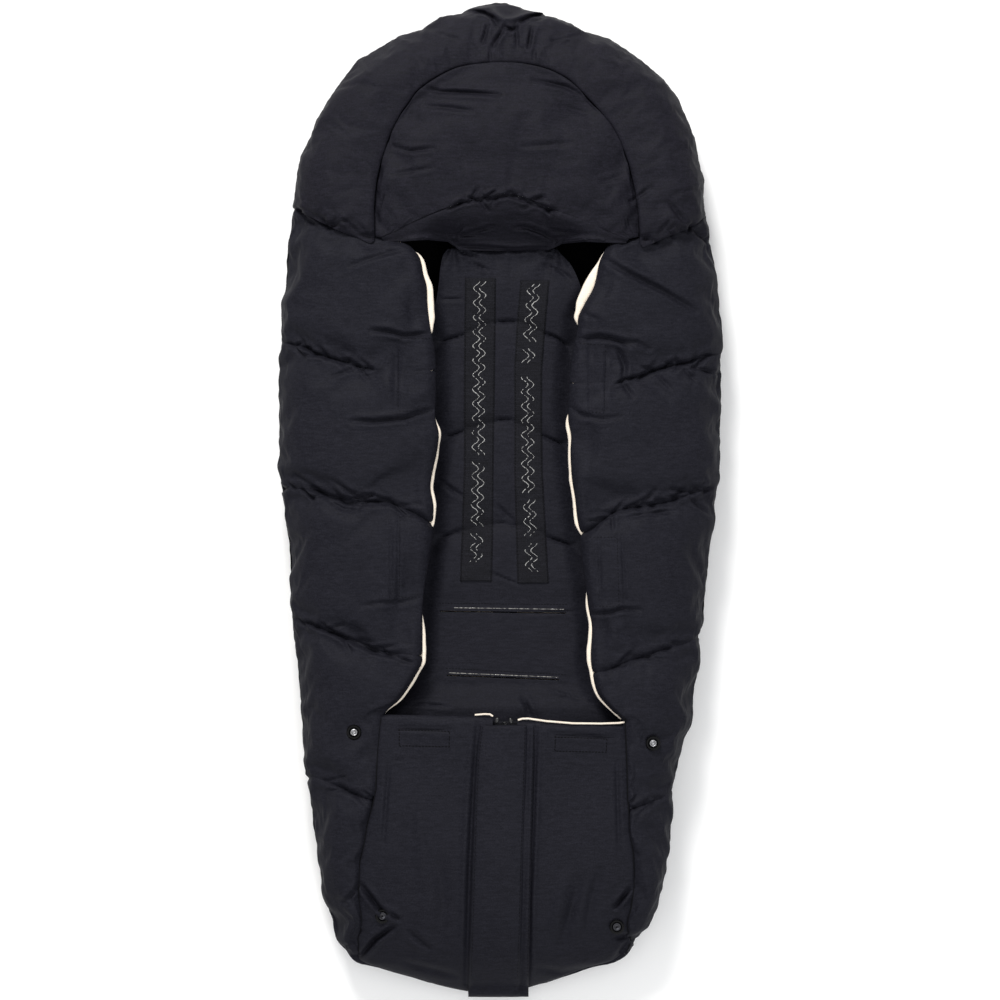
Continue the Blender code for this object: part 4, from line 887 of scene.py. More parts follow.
def cut(obj, boxes):
    """Cuts box-shaped openings through a piece: centre, size and turn, in millimetres and degrees."""
    mesh = bmesh.new()
    for centre, size, turn in boxes:
        block = bmesh.ops.create_cube(mesh, size=1)["verts"]
        bmesh.ops.scale(mesh, verts=block, vec=Vector(size) * 0.001)
        bmesh.ops.rotate(mesh, verts=block, matrix=Matrix.Rotation(math.radians(turn), 3, "Z"))
        bmesh.ops.translate(mesh, verts=block, vec=Vector(centre) * 0.001)
    data = bpy.data.meshes.new("cutter")
    mesh.to_mesh(data)
    mesh.free()
    cutter = bpy.data.objects.new("cutter", data)
    bpy.context.scene.collection.objects.link(cutter)
    hole = obj.modifiers.new("slots", "BOOLEAN")
    hole.operation, hole.object, hole.solver = "DIFFERENCE", cutter, "EXACT"
    bpy.context.view_layer.update()
    converted(obj)
    bpy.data.objects.remove(cutter)


# Harness slots: their two ends, and how wide they lie open
SLOT_LINES = (((-60, 611), (66, 613)), ((-53, 675), (59, 679.5)))
SLOT_OPEN = 1.3
slots = []
for (xa, da), (xb, db) in SLOT_LINES:
    centre = ((xa + xb) / 2, HOOD_Y - (da + db) / 2, 55)
    size = (math.hypot(xb - xa, db - da), SLOT_OPEN, 30)
    slots.append((centre, size, math.degrees(math.atan2(da - db, xb - xa))))
cut(back, slots)
cut(back_lining, slots)
for polygon in back.data.polygons:
    polygon.use_smooth = True
back.data.set_sharp_from_angle(angle=math.radians(50))


def tree_of(*objs):
    """Search tree of the surfaces of several pieces."""
    points, faces = [], []
    for obj in objs:
        start = len(points)
        points += [v.co.copy() for v in obj.data.vertices]
        faces += [[start + i for i in p.vertices] for p in obj.data.polygons]
    return BVHTree.FromPolygons(points, faces)


def seated(tree, x, y, rise=0.0, spare=None, up=1):
    """Height of a surface over or under a place, in millimetres."""
    start = Vector((x, y, 200 * up)) * 0.001
    hit = tree.ray_cast(start, Vector((0, 0, -up)))[0]
    return spare if hit is None else hit.z * 1000 + rise * up


def socket_id(tree, name):
    """Identifier of a tree's input, by which a modifier sets it."""
    return next(i.identifier for i in tree.interface.items_tree if i.name == name and i.in_out == "INPUT")


def piece_tree():
    """Geometry nodes that set one small rounded piece on each point, turned and sized by the point's values."""
    tree = bpy.data.node_groups.new("repeated_piece", "GeometryNodeTree")
    face = tree.interface
    face.new_socket("Points", in_out="INPUT", socket_type="NodeSocketGeometry")
    for name in ("Length", "Width", "Height"):
        face.new_socket(name, in_out="INPUT", socket_type="NodeSocketFloat")
    face.new_socket("Material", in_out="INPUT", socket_type="NodeSocketMaterial")
    face.new_socket("Pieces", in_out="OUTPUT", socket_type="NodeSocketGeometry")

    start = add(tree, "NodeGroupInput")
    ball = add(tree, "GeometryNodeMeshUVSphere", {"Segments": 8, "Rings": 5, "Radius": 0.5})
    size = add(tree, "ShaderNodeCombineXYZ", {"X": start["Length"], "Y": start["Width"], "Z": start["Height"]})
    shaped = add(tree, "GeometryNodeTransform", {"Geometry": ball["Mesh"], "Scale": size["Vector"]})
    turn = add(tree, "GeometryNodeInputNamedAttribute", {"Name": "turn"}, data_type="FLOAT_VECTOR")
    share = add(tree, "GeometryNodeInputNamedAttribute", {"Name": "share"}, data_type="FLOAT")
    spin = add(tree, "FunctionNodeEulerToRotation", {0: turn[0]})
    laid = add(tree, "GeometryNodeInstanceOnPoints", {"Points": start["Points"], "Instance": shaped[0],
                                                      "Rotation": spin[0], "Scale": share[0]})
    real = add(tree, "GeometryNodeRealizeInstances", {"Geometry": laid["Instances"]})
    smooth = add(tree, "GeometryNodeSetShadeSmooth", {"Geometry": real["Geometry"]})
    dressed = add(tree, "GeometryNodeSetMaterial",
                  {"Geometry": smooth["Geometry"], "Material": start["Material"]})
    add(tree, "NodeGroupOutput", {"Pieces": dressed["Geometry"]})
    return tree


PIECES = piece_tree()


def repeated(name, places, aims, shares, size, material):
    """Many small rounded pieces: their places in millimetres, the way each points and its share of the size."""
    obj = mesh_object(name, places, [], material)
    turns = [c for aim in aims for c in Vector(aim).to_track_quat("X", "Z").to_euler()]
    obj.data.attributes.new("turn", "FLOAT_VECTOR", "POINT").data.foreach_set("vector", turns)
    obj.data.attributes.new("share", "FLOAT", "POINT").data.foreach_set("value", shares)
    laid = obj.modifiers.new("pieces", "NODES")
    laid.node_group = PIECES
    for key, value in zip(("Length", "Width", "Height"), size):
        laid[socket_id(PIECES, key)] = value * 0.001
    laid[socket_id(PIECES, "Material")] = material
    converted(obj)
    obj.data.materials.clear()
    obj.data.materials.append(material)
    obj.data.polygons.foreach_set("material_index", [0] * len(obj.data.polygons))
    return obj


def stitched(name, tree, lines, pitch, size, rise=0.1, material=thread, least=1.0):
    """Rows of stitches seated on a surface, along lines of (across, distance from the hood's end)."""
    places, aims = [], []
    for line in lines:
        line = np.array(line, float).reshape(-1, 2)
        long = np.linalg.norm(np.diff(line, axis=0), axis=1).sum()
        flat = along_line(line, np.linspace(0, 1, max(2, int(long / pitch) + 1)))
        seat = [seated(tree, x, HOOD_Y - d, rise) for x, d in flat]
        row = np.array([(x, HOOD_Y - d, z) for (x, d), z in zip(flat, seat) if z is not None])
        if len(row) < 2:
            continue
        aim = np.gradient(row, axis=0)
        places += row.tolist()
        aims += aim.tolist()
    shares = np.random.default_rng(21).uniform(least, 1.0, len(places))
    return repeated(name, places, aims, shares.tolist(), size, material)


# Grip strips: distance from the hood's end, then their left and right edges
STRIPS = {
    "left": ((278.5, -35, -4), (371, -36, -5), (470, -36, -6.5), (540, -38.5, -7), (581, -40, -8)),
    "right": ((281, 20.3, 49.4), (320, 17, 46), (371, 14, 42), (415, 14.5, 42), (470, 14.2, 42.5),
              (583, 17.3, 48.8)),
}
# Print of the strips: two waves side by side, each a turn of silicone
WAVE_STEP, WAVE_SWING, WAVE_APART = 7.2, 3.4, 2.9
back_tree = tree_of(back)


def grip_strip(side, rows):
    """A ribbed elastic strip seated on the back panel, with a row of stitches along each edge."""
    place, low, high = np.array(rows).T
    d = np.linspace(place[0], place[-1], 150)
    low, high = np.interp(d, place, low), np.interp(d, place, high)
    u = np.linspace(0, 1, 15)
    x = low[:, None] + (high - low)[:, None] * u
    z = np.array([[seated(back_tree, a, HOOD_Y - b) for a in row] for row, b in zip(x, d)])
    outer = np.stack([x, HOOD_Y - d[:, None] + 0 * x, z + 0.5 + 0.7 * puff(np.minimum(u, 1 - u) * 30, 1.6)], -1)
    strip = tree_of(grid_object(f"{side}_grip_strip_elastic", outer, below(outer, 1.4), ribbed_tape))
    edges = [[(a + inset, b) for a, b in zip(line, d)] for line, inset in ((low, 1.3), (high, -1.3))]
    stitched(f"{side}_strip_stitches", strip, edges, pitch=3.2, size=(2.5, 0.7, 0.5), rise=0.05)
    return strip, d, (low + high) / 2 - 0.6


def silicone_print(side, strip, d, middle, seed):
    """Zigzags of silicone drops down a strip. Some are missing or thin, as on the worn print."""
    random = np.random.default_rng(seed)
    places, aims, shares = [], [], []
    turns = np.arange(d[0] + 3, d[-1] - 5, WAVE_STEP)
    worn = random.random(len(turns))
    for shift in (-WAVE_APART, WAVE_APART):
        wave = np.linspace(0, len(turns) - 1, len(turns) * 6)
        row = np.interp(wave, range(len(turns)), turns) + random.normal(0, 0.12, len(wave))
        rounded = np.tanh(1.9 * np.cos(wave * math.pi)) / math.tanh(1.9)
        pointed = 2 * np.abs(wave % 2 - 1) - 1
        across = np.interp(row, d, middle) + shift + WAVE_SWING * (0.35 * rounded + 0.65 * pointed)
        for i in range(1, len(wave) - 1):
            z = seated(strip, across[i], HOOD_Y - row[i], 0.0)
            if z is None or worn[int(wave[i])] < 0.1 or random.random() < 0.16:
                continue
            places.append((across[i], HOOD_Y - row[i], z))
            aims.append((across[i + 1] - across[i - 1], row[i - 1] - row[i + 1], 0.0))
            shares.append(random.uniform(0.4, 1.0))
    repeated(f"{side}_silicone_zigzag", places, aims, shares, (3.0, 0.9, 0.7), silicone)


for (side, rows), seed in zip(STRIPS.items(), (8, 9)):
    silicone_print(side, *grip_strip(side, rows), seed)

# Harness slots: a pale line above each, and a row of stitches
PALE_LINES = (((-45, 607.6), (63, 609.2)), ((-50, 672.6), (58, 677)))
SLOT_SEAMS = (((-60, 603), (66, 604.5)), ((-53, 668), (65, 674.5)))
stitched("slot_edge_silicone", back_tree, PALE_LINES, pitch=1.3, size=(2.1, 0.95, 0.6), rise=0.05,
         material=pale_silicone, least=0.3)
stitched("slot_stitches", back_tree, SLOT_SEAMS, pitch=3.0, size=(2.3, 0.7, 0.5))


# Foot section: its upper hem, as across and distance from the hood's end
FOOT_TOP = curve_through(((-118, 713), (-24, 715), (-7, 716.5), (17, 719.5), (30, 720), (60, 723),
                          (125, 723.5)))
# Distance of the foot section's top, and where each panel starts beside the zip
FOOT_D = 715
FOOT_NEAR = {"left": -7, "right": 17}
# Creases of the foot section: depth, width and the points along each
FOOT_CREASES = [
    (3.0, 1.7, -101, 727, -60, 728, -46, 729.5), (3.0, 1.7, 49, 732, 80, 734, 116, 736),
    (1.6, 1.4, -108, 758, -97, 757.8), (3.4, 2.6, -22, 724, -26, 780, -30, 860, -32, 930, -34, 985),
    (2.6, 1.8, 36, 724, 33, 820, 30, 900, 29, 985), (5.4, 2.2, -138, 884, -121, 906, -114, 912),
    (3.4, 2.0, -110, 912, -101, 917), (5.4, 2.2, -106, 925, -124, 938, -141, 958),
    (2.4, 2.0, -147, 935, -137, 929), (2.2, 2.6, -92, 930, -70, 948), (5.0, 2.0, 129, 888, 114, 906),
    (3.0, 2.2, 114, 938, 134, 935), (3.0, 2.4, 116, 958, 129, 943), (2.4, 5.0, 78, 880, 68, 919, 60, 942),
    (2.0, 5.0, 100, 870, 90, 900, 86, 930), (2.0, 6.0, -60, 860, -56, 900, -62, 940),
    (1.8, 3.0, 40, 968, 62, 974, 90, 968), (1.8, 3.0, -44, 976, -70, 970, -96, 962),
    (1.4, 2.0, -110, 760, -116, 840), (1.4, 2.0, 116, 760, 118, 850), (-1.8, 7.0, 62, 880, 54, 930),
    (-1.6, 7.0, -80, 800, -76, 880),
]
# Stitched boxes under the upper hem
BOXES = [((-100, 728.5), (-50, 729.5), (-50.5, 744.7), (-100, 744), (-100, 728.5)),
         ((55, 735), (106, 737.5), (105.5, 750.5), (54.5, 749), (55, 735))]


def foot_grid(side, rows=200, columns=124):
    """Upper face of a thin foot panel, from its top hem down over the foot's end."""
    hand = HANDS[side]
    v = np.linspace(0, 1, rows)[:, None]
    u = np.linspace(0, 1, columns)[None, :]
    near = FOOT_NEAR[side]
    d = FOOT_D + (LONG - 0.5 - FOOT_D) * np.sin(math.pi / 2 * v ** 0.9)
    far = np.minimum(PANEL_SEAM[side](d) + 2, HALF[side](d) * 0.97)
    x = near + (hand * far - near) * u
    d = d + (FOOT_TOP(x) - FOOT_D) * (1 - ease((d - FOOT_D) / 60))
    y = HOOD_Y - d
    sag = 4.0 * np.sin(math.pi * u) * ease((d - FOOT_D) / 60)
    edge = far - np.abs(x)
    z = crown(x, y) - 6 - sag - 3 * (1 - puff(edge, 9)) - 7.5 * (1 - puff(edge, 2.6))
    z = np.maximum(z, height(y) / 2 + 1)
    pull = ripple(x * 0.5 + 0.5 * y, x - y * 0.3, 42, 41) * 2.0 + ripple(x, y * 0.35, 30, 42) * 1.3
    seam = ripple(x * 0.3, y, 13, 43) * 0.9 * np.exp(-edge / 22)
    z = z + pull * ease((d - 712) / 20) + seam - strokes(x, d, FOOT_CREASES)
    z = z - 2.2 * (1 - puff(d - FOOT_TOP(x), 3.5))
    return np.stack([x, y, z], -1)


for side in HANDS:
    grid = foot_grid(side)
    grid_object(f"{side}_foot_panel_cloth", grid, below(grid, 4.2), shell_cloth)


def wrapped(rows, top, x_of, depth, corner_d=988):
    """Rows of a strip that runs down the foot section, round its end and on to the fold underneath."""
    upper = FOOT_D + (corner_d - FOOT_D) * (1 - (1 - np.linspace(0, 1, rows)) ** 1.4)
    upper = np.concatenate([[top], upper[upper > top]])
    grid = [[(x, HOOD_Y - d, crown(x, HOOD_Y - d) - depth(u, d)) for u, x in enumerate(x_of(d))] for d in upper]
    corner = HOOD_Y - corner_d
    half = height(corner) / 2
    for a in np.radians(np.linspace(90, -90, 25)[1:-1]):
        out = 8.5 * math.cos(a) ** 0.8 + 3
        rise = math.copysign(abs(math.sin(a)) ** 0.8, a)
        grid.append([(x, corner - out, half + (crown(x, corner) - depth(u, corner_d) - half) * rise)
                     for u, x in enumerate(x_of(corner_d))])
    for d in upper[::-1][upper[::-1] >= down(FOLD) - 2]:
        y = HOOD_Y - d
        grid.append([(x, y, max(2.5, height(y) - crown(x, y) + depth(u, d))) for u, x in enumerate(x_of(d))])
    return np.array(grid, float)


# Edges of the placket, with the fold beside its narrow lip: distance from the hood's end, across
PLACKET_LEFT = curve_through(((722, -20), (760, -24), (850, -27.5), (930, -30), (992, -32), (1000, -32)))
PLACKET_FOLD = curve_through(((722, 27), (850, 23), (1000, 19)))
PLACKET_RIGHT = curve_through(((722, 35), (850, 31.5), (1000, 28.5)))


def placket_across(d):
    """Places across the placket: its broad strip, the fold beside it and its narrow lip."""
    left, fold, right = PLACKET_LEFT(d), PLACKET_FOLD(d), PLACKET_RIGHT(d)
    return [left + (fold - left) * s for s in (0, 0.03, 0.1, 0.25, 0.4, 0.55, 0.7, 0.85, 0.95, 0.99)] + [
        fold + 0.9, fold + (right - fold) * 0.5, right - 1.0, right]


PLACKET_TOP, PLACKET_LOW = 723, 8.5
# Heights across the placket over its lowest
RIDGE = (0.2, 4.6, 6.4, 7.4, 7.9, 8.0, 7.8, 7.2, 6.6, 5.6, 0.4, 4.6, 4.0, 0.0)
outer = wrapped(64, PLACKET_TOP, placket_across, lambda u, d: PLACKET_LOW - RIDGE[u] * 0.9)
inner = wrapped(64, PLACKET_TOP, placket_across, lambda u, d: PLACKET_LOW - min(0.5, RIDGE[u] * 0.3) + 0.7)
placket = finer(grid_object("foot_placket_cloth", outer, inner, shell_cloth))

foot_tree = tree_of(made["left_foot_panel_cloth"], made["right_foot_panel_cloth"])
stitched("foot_box_stitches", foot_tree, BOXES, pitch=3.2, size=(2.9, 1.1, 0.7), rise=0.12)
PLACKET_LINES = [[(edge(d) + inset, d) for d in np.linspace(PLACKET_TOP + 3, 975, 40)]
                 for edge, inset in ((PLACKET_LEFT, 3), (PLACKET_FOLD, -2.0), (PLACKET_RIGHT, -1.6))]
stitched("placket_stitches", tree_of(placket), PLACKET_LINES, pitch=3.6, size=(2.7, 0.7, 0.5), rise=0.05)


def directions(line):
    """Unit directions along a line of points."""
    aim = np.gradient(line, axis=0)
    return aim / np.linalg.norm(aim, axis=1, keepdims=True)


def ribbon(name, path, wide, rise, thick, material):
    """A narrow rounded band along a path of (across, distance from the hood's end, height)."""
    line = along_line(path, np.linspace(0, 1, 90))
    aim = directions(line[:, :2])
    u = np.linspace(-1, 1, 7)
    x = line[:, :1] - aim[:, 1:] * u * wide / 2
    d = line[:, 1:2] + aim[:, :1] * u * wide / 2
    z = line[:, 2:] + rise + thick * np.sqrt(1 - u**2 * 0.96)
    outer = np.stack([x, HOOD_Y - d, z], -1)
    inner = outer.copy()
    inner[..., 2] = line[:, 2:] + rise - thick * 0.4
    return grid_object(name, outer, inner, material)


def turned(name, centre, profile, material, around=40):
    """A round piece turned about an upright line, from (radius, height) points that start and end on it."""
    angles = np.linspace(0, 2 * math.pi, around, False)
    points, rings = [], []
    for radius, rise in profile:
        spots = [(radius * math.cos(a), radius * math.sin(a), rise) for a in angles] if radius else [
            (0, 0, rise)]
        rings.append(range(len(points), len(points) + len(spots)))
        points += (np.array(spots) + centre).tolist()
    faces = []
    for low, high in zip(rings, rings[1:]):
        for i in range(around):
            j = (i + 1) % around
            corners = low[i % len(low)], low[j % len(low)], high[j % len(high)], high[i % len(high)]
            faces.append(list(dict.fromkeys(corners)))
    obj = mesh_object(name, points, faces, material)
    turned_out(obj.data)
    obj.data.set_sharp_from_angle(angle=math.radians(60))


# Sockets of the upper snaps: a dished cup with a rolled rim and a low dome in it
SOCKET = ((0, 0.9), (0.7, 0.85), (1.15, 0.55), (1.5, 0.5), (1.85, 1.1), (2.2, 2.1), (2.55, 2.6), (2.95, 2.7),
          (3.35, 2.4), (3.6, 1.6), (3.7, 0.6), (3.7, 0.0), (0, 0.0))
for side, (x, y, z) in SNAPS.items():
    turned(f"upper_{side}_snap_cup", (x, y, z + 0.2), SOCKET, nickel)


# Rolled hem of the yoke over each side opening
yoke_tree = tree_of(yoke)
for side, low, high in (("left", -108, -46), ("right", 54, 116)):
    hem = [(x, d - 1.2) for x, d in YOKE_LOW if low <= x <= high]
    hem = [(x, d, seated(yoke_tree, x, HOOD_Y - d, 0.0, crown(x, HOOD_Y - d) - 8)) for x, d in hem]
    ribbon(f"{side}_yoke_hem", hem, 3.2, -0.4, 1.3, hood_cloth)


def foot_edge(points):
    """A line over the foot panels' upper hem, with its heights."""
    return [(x, d, crown(x, HOOD_Y - d) - 7.5) for x, d in points]


# Near-black cord along the seam between each foot panel and the side beside it: painted shade of the seam's
# valley
for side, hand in HANDS.items():
    beside = tree_of(made[f"{side}_foot_panel_cloth"], made[f"{side}_side_cell"],
                     made[f"{side}_foot_side_cell"])
    seam = [(hand * (float(PANEL_SEAM[side](d)) + 0.4), d) for d in np.linspace(717, 954, 70)]
    seam = [(x, d, seated(beside, x, HOOD_Y - d, 0.0, 60.0)) for x, d in seam]
    ribbon(f"{side}_foot_seam_cord", seam, 1.9, -0.35, 0.7, thread)

# Ends of the zip's teeth, which show over the placket
stops = [(x, HOOD_Y - d, crown(x, HOOD_Y - d) - 5.5) for x, d in ((-3, 718.5), (10.7, 719))]
repeated("foot_zip_end_stops", stops, [(0.3, 1, 0), (-0.2, 1, 0)], [1.0, 1.0], (7.5, 4.6, 4.0), nylon_coil)

# Cream edges over the foot panels' upper hem
ribbon("left_foot_lining_edge", foot_edge(((-25, 713.2), (-16, 712.4), (-10, 712.6), (-7, 714.5))), 1.8, 0, 1.5,
       cream_jersey)
ribbon("right_foot_lining_edge",
       foot_edge(((17.7, 718.3), (22, 717), (28, 716.8), (46, 719.4), (72, 721.6), (100, 722), (118, 721.5),
                  (124, 720.5))), 2.0, 0, 1.6, cream_jersey)


# Front, which lies underneath: its seams by distance at the side, their slant, and where each half starts
FRONT_SEAMS = (207, 345, 481, 617, 778, 893, 991)
FRONT_SLANT = 0.29
ZIP_EDGE = {"left": 7, "right": 17}
# Depth of the neckline's cut beside the zip, and how far it reaches across
NECK_DEEP, NECK_WIDE = 104, 75


def front_grids(side, top=207, bottom=990, rows=156, columns=46):
    """Half of the front runs from the side to the zip. Its seams slant and its neckline is cut out."""
    v = np.linspace(0, 1, rows)[:, None]
    s = np.linspace(0, 1, columns)[None, :]
    near = ZIP_EDGE[side]
    d_side = top + (bottom - top) * v
    wide = HALF[side](d_side)
    turn = s * np.arccos((near / wide) ** (POWER / 2))
    far = wide * np.cos(turn) ** (2 / POWER)
    inside = ease((NECK_WIDE - far) / NECK_WIDE)
    neck = NECK_DEEP * inside * np.clip(1 - (d_side - 210) / 400, 0, 1)
    slant = (FRONT_SLANT * (wide - far) * np.clip((d_side - 100) / 110, 0, 1)
             * np.clip((900 - d_side) / 90, 0, 1))
    d = np.minimum(d_side + slant + np.maximum(0, neck - slant * inside), bottom - 2)
    gap = np.min([np.abs(d_side - line) for line in FRONT_SEAMS], axis=0)
    full = puff(gap, 42) * (0.35 + 0.65 * puff(far - near - 4, 45))
    y = HOOD_Y - d
    tall = height(y)
    rise = np.sin(turn) ** (2 / POWER)
    dent = QUILT * (1 - full) * ease(rise * 1.6) - 7 * full * ease(rise * 1.5)
    z = np.maximum(FLOOR_GAP, tall / 2 - (tall / 2 - dent) * rise)
    across = HANDS[side] * far
    thick = SEAM_THICK + WADDING * full
    inner_z = tall / 2 - np.maximum(0, tall / 2 - np.maximum(dent, 0) - thick) * rise
    inner = np.stack([across * (wide - thick) / wide, y, np.minimum(inner_z, tall / 2)], -1)
    return np.stack([across, y, z], -1), inner, held(far.shape, np.clip(1 - gap / 6, 0, 1))


def front_creases(points, normals):
    """Puckers beside the front's slanting seams, with soft folds between them."""
    x, y, z = points.T
    side_d = HOOD_Y - y - FRONT_SLANT * (215 - np.abs(x))
    gap = np.min([np.abs(side_d - line) for line in FRONT_SEAMS[:5]], axis=0)
    pucker = ripple(x + 0.25 * y, y * 0.22, 9, 51) * 1.6 * np.exp(-gap / 26) * ease(gap / 3)
    folds = ripple(x * 0.35, y - 0.3 * np.abs(x), 21, 52) * 0.9
    return (pucker + folds) * ease((z - 0.5) / 10)


for side in HANDS:
    padded_cell(f"{side}_front_cover_cloth", front_grids(side), front_creases, ends=False, levels=1)


# Cream lining: how far it shows past a wing's free edge, by distance from the hood's end
PEEP = {
    "left": curve_through((
        (243, -6), (250, -3), (253, 1), (262, 4), (275, 5), (300, 7), (315, 7), (333, 2), (340, -3),
        (410, -3), (419, 1), (440, 2.5), (465, 3.5), (500, 3), (525, 1), (535, -3), (605, -3), (616, 2),
        (640, 4), (665, 4), (690, 4), (712, 3), (722, 0),
    )),
    "right": curve_through((
        (243, -6), (248, 0), (256, 2), (263, 2.5), (269, 5.5), (277, 9.5), (290, 12.5), (300, 11), (311, 7),
        (321, 4), (328, 0), (334, -3), (408, -3), (415, 1), (430, 4), (460, 3.5), (490, 3), (525, 3.5),
        (532, 1), (545, -3), (580, -3), (590, 1), (610, 4), (650, 5), (685, 4), (705, 4), (720, 3), (724, 0),
    )),
}


def lining_grid(side, top, bottom):
    """The lining starts past the free edge and runs under the wing's wadding to the side."""
    hand = HANDS[side]
    d = np.linspace(top, bottom, int((bottom - top) / 3.2) + 1)[:, None]
    u = np.linspace(0, 1, 26)[None, :]
    wave = ripple(d * 1.0, 0 * d, 17, 61) * 0.9 + ripple(d * 1.0, 0 * d, 7, 62) * 0.4
    shown = PEEP[side](d)
    start = EDGE[side](d) - shown - wave * (shown > 0)
    x = start + (HALF[side](d) * 0.9 - start) * u ** 1.5
    y = HOOD_Y - d + 0 * x
    inward = np.maximum(0, x - EDGE[side](d))
    z = crown(hand * x, y) - 14 + 2.5 * puff(x - start, 5) - 9 * puff(inward, 50) * (inward > 0)
    return np.stack([hand * x, y, z], -1)


# Stitched boxes of the wings, where the hook tapes are sewn on
WING_BOXES = {
    "left": {"upper": ((-70, 340), (-100, 340), (-101, 412), (-68, 412)),
             "lower": ((-76, 518), (-99, 516), (-100, 596), (-80, 597))},
    "right": {"upper": ((80, 345), (105, 346), (103, 414), (78, 412)),
              "lower": ((90, 537), (116, 537), (118, 605), (92, 606))},
}
BOX_CELLS = {"upper": ("upper", "middle"), "lower": ("lower",)}
# Ends of the lining's three parts, and hook tapes under it: their sides, then their ends
LINING_PARTS = {"upper": (243, 345), "middle": (345, 509), "lower": (509, 718)}
HOOKS = {"upper": (88, 116.2, 376.5, 454.5), "lower": (98.1, 129, 555.5, 633.4)}


def hook_tape(side, level, linings):
    """A tape of hooks seated on the underside of the lining."""
    near, far, top, bottom = HOOKS[level]
    d, u = np.linspace(top, bottom, 40), np.linspace(0, 1, 14)
    x = HANDS[side] * (near + (far - near) * u)
    z = np.array([[seated(linings, a, HOOD_Y - b, 0.05, up=-1) for a in x] for b in d])
    upper = np.stack([x + 0 * z, HOOD_Y - d[:, None] + 0 * z, z], -1)
    lower = below(upper, 1.0) - np.array([0, 0, 0.9]) * puff(np.minimum(u, 1 - u) * 28, 2)[None, :, None]
    grid_object(f"{side}_{level}_hook_tape_pile", upper, lower, hook_pile)


for side in HANDS:
    for level, parts in BOX_CELLS.items():
        cells = tree_of(*(made[f"{side}_wing_{part}_cell"] for part in parts))
        stitched(f"{side}_{level}_box_stitches", cells, [WING_BOXES[side][level]], pitch=3.4,
                 size=(2.3, 0.6, 0.4), rise=0.02)
for side in HANDS:
    for level, ends in LINING_PARTS.items():
        grid = lining_grid(side, *ends)
        finer(grid_object(f"{side}_wing_{level}_lining", grid, below(grid, 2), cream_jersey, True))
    linings = tree_of(*(made[f"{side}_wing_{level}_lining"] for level in LINING_PARTS))
    for level in HOOKS:
        hook_tape(side, level, linings)


def front_lining_grid(side, ends=(336, 827.5)):
    """Jersey inside the front, held off the wadding, from the neckline down to the fold."""
    d = np.linspace(*ends, 130)[:, None]
    wide = HALF[side](d)
    turn = np.linspace(0.36, 1, 40)[None, :] * np.arccos((ZIP_EDGE[side] / wide) ** (POWER / 2))
    x = HANDS[side] * wide * np.cos(turn) ** (2 / POWER) * 0.985
    rise = np.sin(turn) ** (2 / POWER)
    y = HOOD_Y - d + 0 * x
    z = (height(y) / 2 - (height(y) / 2 - 25.5) * rise + ripple(x, y, 30, 81) * 1.1
         + ripple(x * 0.5, y, 12, 82) * 0.4)
    return np.stack([x, y, z], -1)


# Where the wings start to turn, as places y at their upper and lower ends and as distances from the middle
TOP_BLEND, LOW_BLEND, GUSSET = (290, 165), (-30, -128), (207, 185)


def gusset_grid(side):
    """Strip of lining that joins a wing's outer edge to the side, so the wing opens without a gap."""
    d = np.linspace(212, 624, 150)[:, None]
    u = np.linspace(0, 1, 12)[None, :]
    y = HOOD_Y - d
    wide = HALF[side](d)
    swing = np.clip(np.minimum((TOP_BLEND[0] - y) / (TOP_BLEND[0] - TOP_BLEND[1]),
                               (y - LOW_BLEND[1]) / (LOW_BLEND[0] - LOW_BLEND[1])), 0, 1)
    edge = wide - 1.2
    inner = np.minimum(GUSSET[0] - (GUSSET[0] - GUSSET[1]) * swing, edge - 2)
    x = edge + (inner - edge) * u
    half = height(y) / 2
    wing = half + half * (1 - (x / wide) ** POWER) ** (1 / POWER) - 17
    z = np.maximum(half - 0.6, np.minimum(wing, half + 16 * u))
    return np.stack([HANDS[side] * x, y + 0 * x, z], -1)


def facing_grid(side):
    """Facing inside the hood's mouth, beside the way in, in near-black knit that paints the shade there. It
    rises behind the top of the back panel.
    """
    d = np.linspace(222, 350, 40)[:, None]
    x = np.linspace(40, 185, 34)[None, :]
    raised = ease((d - 308) / 24)
    z = 27 + ripple(HANDS[side] * x, d, 34, 71) * (4 - 3 * raised) + (13 + 3 * (x / 185) ** 2) * raised
    return np.stack([HANDS[side] * x + 0 * d, HOOD_Y - d + 0 * x, z], -1)


for side in HANDS:
    grid = front_lining_grid(side)
    grid_object(f"{side}_front_lining_jersey", below(grid, -1.8), grid, cream_jersey)
    # Gusset and facing take the near-black knit, which paints the shade inside the side openings and the hood's
    # mouth
    for name, grid, thick in (("wing_gusset", gusset_grid(side), 1.5),
                              ("mouth_facing_cloth", facing_grid(side), 1.6)):
        grid_object(f"{side}_{name}", grid, below(grid, thick), painted_shade_lining)


# Zip: its middle, its lower end, its height over the floor and the edges of its two tapes
ZIP_X, ZIP_END, ZIP_Z = 5.0, -475.0, 14.8
TAPES = (("left", -7.6, 4.3), ("right", 5.7, 17.6))
COIL_PITCH, COIL_TURN = 1.7, (4.6, 1.35, 1.9)
TAPE_THICK = 1.1


def zip_path(part):
    """Places and heights of the zip's middle: underneath from the neckline to the foot's end, or on top."""
    half = float(height(ZIP_END)) / 2
    arc = [(ZIP_END - 12.5 * math.cos(a), half + (half - ZIP_Z) * math.sin(a)) for a in np.linspace(-1.4, 0, 8)]
    if part == "front":
        return [(y, ZIP_Z) for y in np.linspace(163, ZIP_END, 220)] + arc
    upper = [(y, float(height(y)) - ZIP_Z) for y in np.linspace(-221, ZIP_END, 100)]
    return upper + [(y, 2 * half - z) for y, z in arc]


def zip_tape(name, path, out, low, high):
    """One tape of a zip, which follows the zip's path between its two edges."""
    x = np.linspace(low, high, 12)[None, :]
    faces = []
    for shift in (TAPE_THICK / 2, -TAPE_THICK / 2):
        place = path - out * shift
        faces.append(np.stack([x + 0 * place[:, :1], place[:, :1] + 0 * x, place[:, 1:] + 0 * x], -1))
    grid_object(name, *faces, ribbed_tape)


